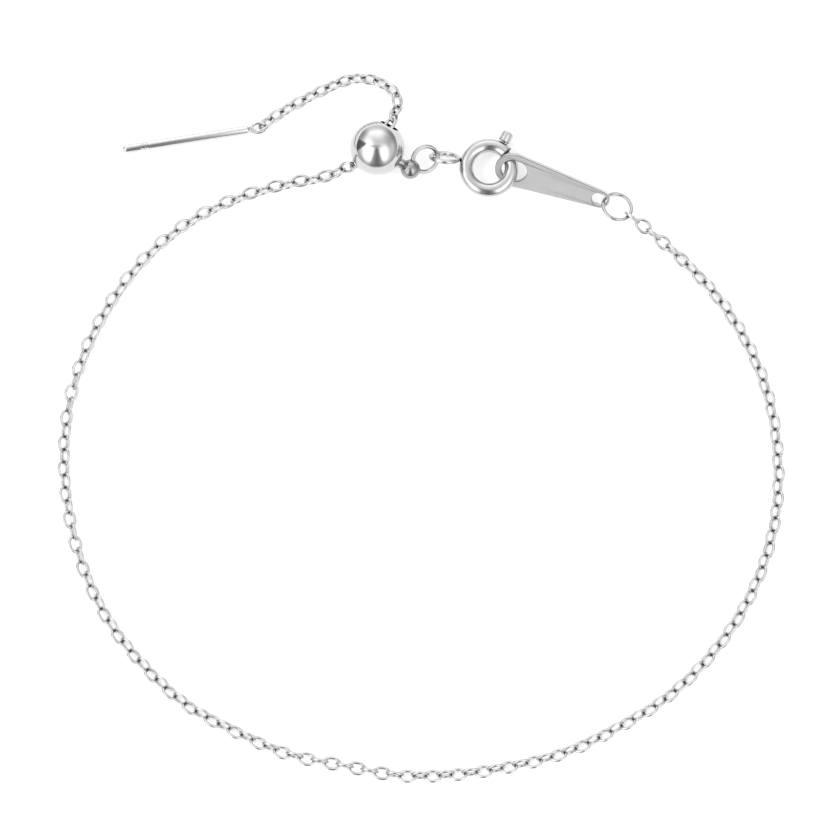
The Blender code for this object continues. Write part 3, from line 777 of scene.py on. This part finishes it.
def rim_painted_shade(tree):
    """Painted shade along the tab's rounded edges: share of brightness kept, by height over its middle
    plane.
    """
    height = measured(tree, "DOT_PRODUCT", tab_frame.translation, tab_frame.to_3x3() @ UP)
    edge_middle = TAB_THICKNESS / 2 - TAB_EDGE / 2
    past = math_node(tree, "SUBTRACT", math_node(tree, "ABSOLUTE", height), edge_middle)
    start, end = RIM_SHADE_REACH
    away = math_node(tree, "ABSOLUTE", past)
    return faded(tree, away, TAB_EDGE * start, TAB_EDGE * end, RIM_SHADE_TONE)


def steel(name, tone, roughness, relief, shaded=None):
    """Worn steel: soft dents, a fine grain, and hairline scratches in two directions, with painted shade
    where pieces nearly meet and any further painted shade that is given.
    """
    dents, grain, scratch = relief
    material, tree, shader = new_material(name)
    shader.inputs["Metallic"].default_value = 1.0
    even = mapped(tree, (1.0, 1.0, 1.0))
    cloudy = noise(tree, even, CLOUD_WAVES, 3.0)
    fine = noise(tree, even, GRAIN_WAVES, 4.0, 0.6)
    # Dull patches, and painted shade where pieces nearly meet, darken the base colour
    open_share = math_node(tree, "MULTIPLY", spread(tree, cloudy, CLOUD_SHARE, 1.0), painted_crevice_shade(tree))
    # Any further painted shade that is given darkens it more
    if shaded is not None:
        open_share = math_node(tree, "MULTIPLY", open_share, shaded(tree))
    tint(tree, shader, open_share, BLACK, tone)
    tree.links.new(spread(tree, fine, *roughness), shader.inputs["Roughness"])
    soft = noise(tree, even, DENT_WAVES, 2.0)
    normal = bump(tree, soft, dents)
    normal = bump(tree, fine, grain, normal)
    for turn in SCRATCH_TURNS:
        hairs = noise(tree, mapped(tree, SCRATCH_WAVES, turn), 1.0, 2.0)
        normal = bump(tree, spread(tree, hairs, 0.0, 1.0, *SCRATCH_RANGE), scratch, normal)
    tree.links.new(normal, shader.inputs["Normal"])
    return material


def satin_steel(name, tone, turn):
    """Satin face: a fine matte grain drawn out slightly along the tab, with painted shade along its
    rounded edges.
    """
    material, tree, shader = new_material(name)
    shader.inputs["Metallic"].default_value = 1.0
    even = mapped(tree, (1.0, 1.0, 1.0))
    cloudy = noise(tree, even, SATIN_CLOUD_WAVES, 3.0)
    grain = noise(tree, mapped(tree, SATIN_GRAIN_WAVES, turn), 1.0, 4.0, 0.65)
    # Dull patches, and painted shade along the rounded edges, darken the base colour
    share = math_node(tree, "MULTIPLY", spread(tree, cloudy, SATIN_CLOUD_SHARE, 1.0), rim_painted_shade(tree))
    share = math_node(tree, "MULTIPLY", share, spread(tree, grain, SATIN_GRAIN_SHARE, 1.0))
    tint(tree, shader, share, BLACK, tone)
    tree.links.new(spread(tree, grain, *SATIN_POLISH), shader.inputs["Roughness"])
    normal = bump(tree, grain, SATIN_RELIEF)
    tree.links.new(normal, shader.inputs["Normal"])
    return material


def finish(obj, material, body, node):
    """Give a piece its material and its place in the frame, kept in its mesh."""
    obj.data.transform(obj.matrix_world)
    obj.matrix_world = Matrix.Identity(4)
    obj.data.materials.clear()
    obj.data.materials.append(material)
    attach(obj, body)
    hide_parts(node)


# Pieces

def link_chain(name, frames):
    """One mesh of equal oval links, each in its own place."""
    points, faces = ring_rows(
        LINK_SEGMENTS,
        LINK_SIDES,
        (LINK_WIDTH - LINK_WIRE) / 2,
        LINK_WIRE / 2,
        (LINK_LENGTH - LINK_WIDTH) / 2,
    )
    all_points = []
    all_faces = []
    for place in frames:
        first = len(all_points)
        all_points.extend(place @ point for point in points)
        all_faces.extend(tuple(first + index for index in face) for face in faces)
    return move_to_scene(name, mesh_from(name, all_points, all_faces))


def roll_at(share):
    """Roll in degrees of the long chain's even links at a share of its way."""
    for (start, low), (end, high) in zip(MAIN_ROLLS, MAIN_ROLLS[1:]):
        if share <= end:
            return low + (high - low) * (share - start) / (end - start)
    return MAIN_ROLLS[-1][1]


def main_link_frames():
    """Places of the long chain's links: each rolled, seated on the ground and swayed aside."""
    route = smooth_route(main_chain_route(), ROUTE_STEPS, CHAIN_RADIUS)
    places = stations(route, LINK_PITCH)
    frames = [rolled(end_link_direction, end_link_centre, QUARTER_TURN)]
    count = len(places) - 1
    for index, (start, end) in enumerate(zip(places, places[1:])):
        roll = roll_at(index / count) * DEGREE + QUARTER_TURN * ((index + 1) % 2)
        steepest = max(abs(math.sin(roll)), abs(math.cos(roll)))
        lift = LINK_WIRE / 2 + (LINK_WIDTH - LINK_WIRE) / 2 * steepest
        middle = (start + end) / 2
        middle.z += lift - CHAIN_RADIUS
        side = UP.cross(end - start).normalized()
        held = min(1.0, index / SWAY_FROM, (count - index) / SWAY_FROM)
        middle += side * math.sin(2.0 * roll) * LINK_SWAY * held
        frames.append(rolled(end - start, middle, roll))
    return frames


def tail_link_frames():
    """Places of the tail's links, each a quarter turn from the one before."""
    route = smooth_route(tail_chain_route(), ROUTE_STEPS, TAIL_HEIGHT)
    places = stations(route, LINK_PITCH)
    frames = []
    for index, (start, end) in enumerate(zip(places, places[1:])):
        roll = TAIL_ROLL + QUARTER_TURN * (index % 2)
        frames.append(rolled(end - start, (start + end) / 2, roll))
    return frames


def build_bead():
    """The ball with its soldered eye, cut by the chain's bore and the jump ring's hole."""
    ball = ball_profile(BEAD_RADIUS, BALL_STEPS)
    bead = turned_piece("bead", ball, BALL_SIDES, Matrix.Translation(BEAD_PLACE))
    neck_length = (eye_centre - BEAD_PLACE).length
    neck = turned_piece(
        "eye_neck",
        rounded_profile(EYE_NECK_RADIUS, 0.0, neck_length, EYE_NECK_ROUND, EYE_NECK_ROUND),
        EYE_NECK_SIDES,
        standing(eye_direction, BEAD_PLACE),
    )
    eye_ball = ball_profile(EYE_RADIUS, EYE_STEPS)
    eye = turned_piece("eye", eye_ball, EYE_SIDES, Matrix.Translation(eye_centre))
    reach = 2 * BEAD_RADIUS
    bore_profile = [(0.0, -reach), (BORE_RADIUS, -reach), (BORE_RADIUS, reach), (0.0, reach)]
    bore = turned_piece("bore", bore_profile, BORE_SIDES, standing(bore_axis, bore_middle))
    hole = ring_piece("eye_hole", bead_ring_frame, BEAD_RING_RADIUS, eye_hole)
    combine(
        bead,
        ("UNION", neck),
        ("UNION", eye),
        ("DIFFERENCE", bore),
        ("DIFFERENCE", hole),
    )
    surfaces = [
        ball_surface(BEAD_PLACE, BEAD_RADIUS),
        ball_surface(eye_centre, EYE_RADIUS),
        ring_surface(bead_ring_frame, BEAD_RING_RADIUS, eye_hole),
    ]
    shade(bead, surfaces)
    return bead


def build_clasp():
    """The clasp's hollow tube with its bail, open at the gap and along the trigger's slot."""
    start = CLASP_GAP_END
    end = CLASP_GAP_START + FULL_TURN
    past = CLASP_BORE_PAST
    route = arc_points(CLASP_RADIUS, start, end, CLASP_STEPS)
    body = tube_piece("clasp", route, CLASP_TUBE_RADIUS, CLASP_SIDES, clasp_frame)
    bore_route = arc_points(CLASP_RADIUS, start - past, end + past, CLASP_BORE_STEPS)
    bore_radius = CLASP_TUBE_RADIUS - CLASP_WALL
    bore = tube_piece("clasp_bore", bore_route, bore_radius, CLASP_BORE_SIDES, clasp_frame)
    bail_frame = tilted(bail_centre, BAIL_AXIS, BAIL_TILT)
    bail = ring_piece("clasp_bail", bail_frame, bail_radius, BAIL_WIRE_RADIUS)
    slot_radius = TRIGGER_NECK_RADIUS + SLOT_PLAY
    slot_centre = CLASP_RADIUS + CLASP_TUBE_RADIUS - CLASP_WALL / 2
    slot_route = arc_points(slot_centre, TRIGGER_ANGLE, TRIGGER_ANGLE + BOLT_TRAVEL, SLOT_STEPS)
    first_step = (slot_route[0] - slot_route[1]).normalized() * slot_radius
    last_step = (slot_route[-1] - slot_route[-2]).normalized() * slot_radius
    slot_route = [slot_route[0] + first_step, *slot_route, slot_route[-1] + last_step]
    slot = tube_piece("trigger_slot", slot_route, slot_radius, SLOT_SIDES, clasp_frame)
    combine(body, ("UNION", bail), ("DIFFERENCE", bore), ("DIFFERENCE", slot))
    surfaces = [
        ring_surface(clasp_frame, CLASP_RADIUS, CLASP_TUBE_RADIUS),
        ring_surface(clasp_frame, CLASP_RADIUS, bore_radius),
        ring_surface(bail_frame, bail_radius, BAIL_WIRE_RADIUS),
    ]
    shade(body, surfaces)
    return body


def build_trigger():
    """The curved bolt inside the tube, with the trigger that turns it."""
    start = CLASP_GAP_START - BOLT_REACH
    end = TRIGGER_ANGLE + BOLT_TAIL
    route = arc_points(CLASP_RADIUS, start, end, BOLT_STEPS)
    bolt = tube_piece("bolt_and_trigger", route, BOLT_RADIUS, BOLT_SIDES, clasp_frame)
    spoke = direction(TRIGGER_ANGLE)
    foot = CLASP_RADIUS + CLASP_TUBE_RADIUS + TRIGGER_LIFT
    spoke_frame = clasp_frame @ standing(spoke, Vector())
    neck_top = foot + TRIGGER_HEIGHT / 2
    neck_profile = [
        (0.0, CLASP_RADIUS),
        (TRIGGER_NECK_RADIUS, CLASP_RADIUS),
        (TRIGGER_NECK_RADIUS, neck_top),
        (0.0, neck_top),
    ]
    neck = turned_piece("neck", neck_profile, TRIGGER_NECK_SIDES, spoke_frame)
    top = foot + TRIGGER_HEIGHT
    head_profile = rounded_profile(TRIGGER_RADIUS, foot, top, TRIGGER_FOOT_ROUND, TRIGGER_ROUND)
    head = turned_piece("head", head_profile, TRIGGER_SIDES, spoke_frame)
    combine(bolt, ("UNION", neck), ("UNION", head))
    shade(bolt, [ring_surface(clasp_frame, CLASP_RADIUS, BOLT_RADIUS)])
    return bolt


def tab_outline():
    """Two unlike round ends and the straight edges that touch both."""
    lean = math.asin((TAB_WIDE_RADIUS - TAB_NARROW_RADIUS) / TAB_SPAN)
    touch = QUARTER_TURN - lean
    wide = arc_points(TAB_WIDE_RADIUS, touch, FULL_TURN - touch, TAB_WIDE_STEPS)
    narrow = arc_points(TAB_NARROW_RADIUS, -touch, touch, TAB_NARROW_STEPS)
    middle = Vector((TAB_SPAN, 0.0, 0.0))
    return wide + [point + middle for point in narrow]


def build_tab():
    """The flat tab with its two holes and rounded edges, shaded level on both faces."""
    curve = bpy.data.curves.new("tab", "CURVE")
    curve.dimensions = "2D"
    curve.fill_mode = "BOTH"
    curve.extrude = TAB_THICKNESS / 2
    narrow_centre = Vector((TAB_SPAN, 0.0, 0.0))
    wide_hole = arc_points(TAB_WIDE_HOLE_RADIUS, 0.0, FULL_TURN, TAB_WIDE_STEPS)[:-1]
    narrow_hole = arc_points(TAB_NARROW_HOLE_RADIUS, 0.0, FULL_TURN, NARROW_HOLE_STEPS)[:-1]
    narrow_hole = [point + narrow_centre for point in narrow_hole]
    for outline in (tab_outline(), wide_hole, narrow_hole):
        spline = curve.splines.new("POLY")
        spline.points.add(len(outline) - 1)
        spline.use_cyclic_u = True
        for spline_point, point in zip(spline.points, outline):
            spline_point.co = (*point, 1.0)
    tab = bpy.data.objects.new("tab", curve)
    bpy.context.scene.collection.objects.link(tab)
    bpy.context.view_layer.update()
    depsgraph = bpy.context.evaluated_depsgraph_get()
    mesh = bpy.data.meshes.new_from_object(tab.evaluated_get(depsgraph), depsgraph=depsgraph)
    bpy.data.objects.remove(tab, do_unlink=True)
    solid = bmesh.new()
    solid.from_mesh(mesh)
    bmesh.ops.remove_doubles(solid, verts=solid.verts, dist=WELD)
    bmesh.ops.recalc_face_normals(solid, faces=solid.faces)
    rims = [edge for edge in solid.edges if edge.calc_face_angle(0.0) > TAB_RIM]
    bmesh.ops.bevel(
        solid, geom=rims, offset=TAB_EDGE, segments=TAB_EDGE_SEGMENTS, profile=0.5, affect="EDGES"
    )
    solid.to_mesh(mesh)
    solid.free()
    piece = move_to_scene("tab", mesh)
    piece.matrix_world = tab_frame
    shade(piece, sharp=TAB_SHARP)
    for face in mesh.polygons:
        face.use_smooth = abs(face.normal.z) < LEVEL_FACE
    return piece


def needle_profile():
    """The needle's bar from its eye on: a soft shoulder, two fine grooves and a round tip."""
    profile = [(0.0, 0.0), (NEEDLE_EYE_WIRE / 2, 0.0)]
    for step in range(ROUND_STEPS + 1):
        share = step / ROUND_STEPS
        ease = share * share * (3.0 - 2.0 * share)
        radius = NEEDLE_EYE_WIRE / 2 + (NEEDLE_RADIUS - NEEDLE_EYE_WIRE / 2) * ease
        profile.append((radius, NEEDLE_SHOULDER * (0.1 + 0.9 * share)))
    groove = NEEDLE_LENGTH - GROOVE_PLACE
    for place in (groove - GROOVE_WIDTH, groove + GROOVE_WIDTH):
        start = place - GROOVE_WIDTH / 2 - GROOVE_DEPTH
        end = place + GROOVE_WIDTH / 2
        profile.append((NEEDLE_RADIUS, start))
        profile.append((NEEDLE_RADIUS - GROOVE_DEPTH, start + GROOVE_DEPTH))
        profile.append((NEEDLE_RADIUS - GROOVE_DEPTH, end - GROOVE_DEPTH))
        profile.append((NEEDLE_RADIUS, end))
    for step in range(NEEDLE_TIP_STEPS + 1):
        angle = QUARTER_TURN * step / NEEDLE_TIP_STEPS
        across = NEEDLE_RADIUS * math.cos(angle) if step < NEEDLE_TIP_STEPS else 0.0
        profile.append((across, NEEDLE_LENGTH - NEEDLE_RADIUS + NEEDLE_RADIUS * math.sin(angle)))
    return profile


def build_needle(last_link):
    """The needle, from its oval eye in the tail's last link down to its tip on the ground."""
    eye_near = last_link @ NEEDLE_EYE_PLACE
    level = direction(NEEDLE_AZIMUTH)
    eye_half = (NEEDLE_EYE_LENGTH - NEEDLE_EYE_WIRE) / 2
    fall = (eye_near.z - NEEDLE_RADIUS) / (NEEDLE_LENGTH + NEEDLE_EYE_LENGTH)
    axis = Vector((level.x, level.y, -fall)).normalized()
    eye_frame = rolled(axis, eye_near + axis * eye_half, NEEDLE_EYE_ROLL)
    eye = ring_piece(
        "needle_eye",
        eye_frame,
        (NEEDLE_EYE_WIDTH - NEEDLE_EYE_WIRE) / 2,
        NEEDLE_EYE_WIRE / 2,
        segments=NEEDLE_EYE_SEGMENTS,
        sides=NEEDLE_EYE_SIDES,
        stretch=(NEEDLE_EYE_LENGTH - NEEDLE_EYE_WIDTH) / 2,
    )
    bar_place = eye_near + axis * (2 * eye_half + NEEDLE_EYE_WIRE / 2 - NEEDLE_EYE_SINK)
    bar_frame = standing(axis, bar_place)
    bar = turned_piece("threading_needle", needle_profile(), NEEDLE_SIDES, bar_frame)
    combine(bar, ("UNION", eye))
    shade(bar, sharp=NEEDLE_SHARP)
    return bar


# Studio

WHITE = (1.0, 1.0, 1.0, 1.0)
BOARD_HALF = 44.5 * MM
TABLE_HALF = 400.0 * MM
FLOOR_TONES = ((0.595, 0.595, 0.595), (0.605, 0.605, 0.605))
FLOOR_WAVES = 3.0
FLOOR_ROUGHNESS = 0.75
FLOOR_SHINE = 0.2
FLOOR_GLOW = 0.44

KEY_AZIMUTH = 158.0 * DEGREE
KEY_FROM_ZENITH = 38.0 * DEGREE
KEY_DISTANCE = 500.0 * MM
KEY_SIZE = 110.0 * MM
KEY_POWER = 1.15

# The room as a polished ball shows it from above, in ball radii: the middle and half size of
# each panel, its turn in degrees, how much wider its far end is, its soft edge and brightness.
# A panel with no taper is an ellipse.
ROOM_POWER = 1.135
ROOM_LIGHT = 1.10
ROOM_PANELS = [
    ((-0.04, 0.62), (0.42, 0.24), 0.0, None, 0.35, 1.85),
    ((0.56, 0.36), (0.26, 0.36), 0.0, None, 0.40, 0.64),
    ((-0.56, 0.46), (0.20, 0.24), 0.0, None, 0.30, 0.80),
    ((-0.32, -0.12), (0.20, 0.46), 0.0, None, 0.16, 1.92),
    ((0.26, -0.22), (0.17, 0.28), 0.0, None, 0.16, 1.92),
    ((0.60, -0.20), (0.12, 0.34), 0.0, None, 0.16, 1.00),
    ((-0.60, 0.13), (0.16, 0.20), 90.0, 0.80, 0.08, 0.22),
    ((-0.03, -0.60), (0.26, 0.10), 0.0, None, 0.16, 0.62),
    ((-0.01, -0.33), (0.14, 0.34), 180.0, 0.75, 0.10, 0.50),
    ((-0.05, 0.03), (0.15, 0.035), 0.0, None, 0.07, 0.55),
    ((0.00, -0.36), (0.075, 0.32), 180.0, 0.50, 0.12, 0.27),
]
HORIZON = (0.56, 0.71)
HORIZON_TONE = 0.58

# Just over one, so that the way straight down has a place in the ball too
NADIR = 1.0001


def panel_mask(tree, place, middle, half, turn, taper, soft):
    """One on the panel and nothing around it, with a soft edge between them."""
    local = tree.nodes.new("ShaderNodeMapping")
    local.vector_type = "TEXTURE"
    local.inputs["Location"].default_value = (*middle, 0.0)
    local.inputs["Rotation"].default_value = (0.0, 0.0, turn * DEGREE)
    local.inputs["Scale"].default_value = (*half, 1.0)
    tree.links.new(place, local.inputs["Vector"])
    if taper is None:
        reach = tree.nodes.new("ShaderNodeVectorMath")
        reach.operation = "LENGTH"
        tree.links.new(local.outputs["Vector"], reach.inputs["Vector"])
        share = soft / (2.0 * min(half))
        return faded(tree, reach.outputs["Value"], 1.0 + share, max(1.0 - share, 0.0))
    split = tree.nodes.new("ShaderNodeSeparateXYZ")
    tree.links.new(local.outputs["Vector"], split.inputs["Vector"])
    across = math_node(tree, "ABSOLUTE", split.outputs["X"])
    rim = math_node(tree, "MULTIPLY_ADD", split.outputs["Y"], taper, 1.0)
    past = math_node(tree, "SUBTRACT", across, rim)
    beside = faded(tree, past, soft / (2.0 * half[0]), -soft / (2.0 * half[0]))
    along_it = math_node(tree, "ABSOLUTE", split.outputs["Y"])
    share = soft / (2.0 * half[1])
    return math_node(tree, "MULTIPLY", beside, faded(tree, along_it, 1.0 + share, 1.0 - share))


def build_room():
    """Light from every direction, by its place on a polished ball that is seen from above."""
    world = bpy.data.worlds.new("room")
    bpy.context.scene.world = world
    world.use_nodes = True
    tree = world.node_tree
    background = tree.nodes["Background"]
    background.inputs["Color"].default_value = WHITE
    towards = tree.nodes.new("ShaderNodeTexCoord")
    split = tree.nodes.new("ShaderNodeSeparateXYZ")
    tree.links.new(towards.outputs["Generated"], split.inputs["Vector"])
    x, y, z = (split.outputs[axis] for axis in "XYZ")
    raised = math_node(tree, "MULTIPLY", math_node(tree, "ADD", z, NADIR), 2.0)
    stretch = math_node(tree, "SQRT", raised)
    place = tree.nodes.new("ShaderNodeCombineXYZ")
    tree.links.new(math_node(tree, "DIVIDE", x, stretch), place.inputs["X"])
    tree.links.new(math_node(tree, "DIVIDE", y, stretch), place.inputs["Y"])
    light = None
    for middle, half, turn, taper, soft, brightness in ROOM_PANELS:
        mix = tree.nodes.new("ShaderNodeMix")
        mix.inputs["A"].default_value = ROOM_LIGHT
        mix.inputs["B"].default_value = brightness
        mask = panel_mask(tree, place.outputs["Vector"], middle, half, turn, taper, soft)
        tree.links.new(mask, mix.inputs["Factor"])
        if light is not None:
            tree.links.new(light, mix.inputs["A"])
        light = mix.outputs["Result"]
    reach = tree.nodes.new("ShaderNodeVectorMath")
    reach.operation = "LENGTH"
    tree.links.new(place.outputs["Vector"], reach.inputs["Vector"])
    under = faded(tree, reach.outputs["Value"], *HORIZON)
    share = math_node(tree, "MULTIPLY", light, spread(tree, under, 1.0, HORIZON_TONE, 0.0, 1.0))
    tree.links.new(math_node(tree, "MULTIPLY", share, ROOM_POWER), background.inputs["Strength"])


def add_floor(name, rims, material):
    """A level frame between two square rims, or a full square where the inner rim is none."""
    inner, outer = rims
    around = ((-1.0, -1.0), (1.0, -1.0), (1.0, 1.0), (-1.0, 1.0))
    if inner == 0.0:
        corners = [Vector((x * outer, y * outer, 0.0)) for x, y in around]
        faces = [(0, 1, 2, 3)]
    else:
        corners = [Vector((x * rim, y * rim, 0.0)) for rim in rims for x, y in around]
        faces = [(index, (index + 1) % 4, (index + 1) % 4 + 4, index + 4) for index in range(4)]
    floor = move_to_scene(name, mesh_from(name, corners, faces))
    floor.data.materials.append(material)
    return floor


def build_floor():
    """A pale board just wider than the picture, and the table that carries on around it."""
    material, tree, shader = new_material("pale_board")
    even = mapped(tree, (1.0, 1.0, 1.0))
    paper = noise(tree, even, FLOOR_WAVES, 4.0)
    tint(tree, shader, spread(tree, paper, 0.0, 1.0), *FLOOR_TONES)
    shader.inputs["Roughness"].default_value = FLOOR_ROUGHNESS
    shader.inputs["Specular IOR Level"].default_value = FLOOR_SHINE
    shader.inputs["Emission Color"].default_value = WHITE
    shader.inputs["Emission Strength"].default_value = FLOOR_GLOW
    add_floor("board", (0.0, BOARD_HALF), material)
    table = add_floor("table", (BOARD_HALF, TABLE_HALF), material)
    table.visible_glossy = False


def build_key_light():
    """One soft disk of light from the upper left, which the steel doesn't mirror."""
    data = bpy.data.lights.new("key_light", "AREA")
    data.shape = "DISK"
    data.size = KEY_SIZE
    data.energy = KEY_POWER
    lamp = bpy.data.objects.new("key_light", data)
    bpy.context.scene.collection.objects.link(lamp)
    towards = direction(KEY_AZIMUTH, QUARTER_TURN - KEY_FROM_ZENITH)
    lamp.location = towards * KEY_DISTANCE
    lamp.rotation_euler = towards.to_track_quat("Z", "Y").to_euler()
    lamp.visible_camera = False
    lamp.visible_glossy = False


def build_camera():
    """The photograph's view: straight down, as wide as the picture at the focus height."""
    data = bpy.data.cameras.new("camera")
    data.lens = LENS
    data.sensor_width = SENSOR
    data.clip_start = CLIP_START
    camera = bpy.data.objects.new("camera", data)
    bpy.context.scene.collection.objects.link(camera)
    middle = IMAGE_SIZE / 2
    camera.location = (
        (middle - ORIGIN_PIXEL[0]) * PIXEL,
        (ORIGIN_PIXEL[1] - middle) * PIXEL,
        FOCUS_HEIGHT + IMAGE_SIZE * PIXEL * LENS / SENSOR,
    )
    bpy.context.scene.camera = camera


# The scene

bpy.context.scene.view_settings.view_transform = "Standard"
build_camera()
build_room()
build_floor()
build_key_light()

polished = steel("polished_steel", RING_TONE, POLISH, POLISH_RELIEF)
# The bead's colour carries painted shade on its knob and neck
bead_steel = steel("bead_steel", STEEL_TONE, POLISH, POLISH_RELIEF, knob_painted_shade)
# The clasp's colour carries a line of painted shade along its mouth
clasp_steel = steel("clasp_steel", CLASP_TONE, POLISH, POLISH_RELIEF, seam_painted_shade)
drawn = steel("drawn_steel", DRAWN_TONE, DRAWN_POLISH, POLISH_RELIEF)
tumbled = steel("tumbled_steel", STEEL_TONE, TUMBLED_POLISH, TUMBLED_RELIEF)
satin = satin_steel("satin_steel", SATIN_TONE, -TAB_AZIMUTH)

tail_frames = tail_link_frames()
chain = link_chain("chain_links", main_link_frames())
finish(chain, tumbled, "bracelet", "main_chain")
tail = link_chain("tail_links", tail_frames)
finish(tail, tumbled, "bracelet", "tail_chain")
finish(build_bead(), bead_steel, "bracelet", "slider_bead")
bead_ring = ring_piece("bead_jump_ring", bead_ring_frame, BEAD_RING_RADIUS, BEAD_RING_WIRE_RADIUS)
finish(bead_ring, polished, "bracelet", "bead_ring")
finish(build_clasp(), clasp_steel, "bracelet", "clasp_body")
finish(build_trigger(), clasp_steel, "bolt", "clasp_bolt")
finish(build_tab(), satin, "bracelet", "end_tab")
tab_ring = ring_piece("tab_jump_ring", tab_ring_frame, TAB_RING_RADIUS, TAB_RING_WIRE_RADIUS)
finish(tab_ring, polished, "bracelet", "tab_ring")
finish(build_needle(tail_frames[-1]), drawn, "bracelet", "needle")
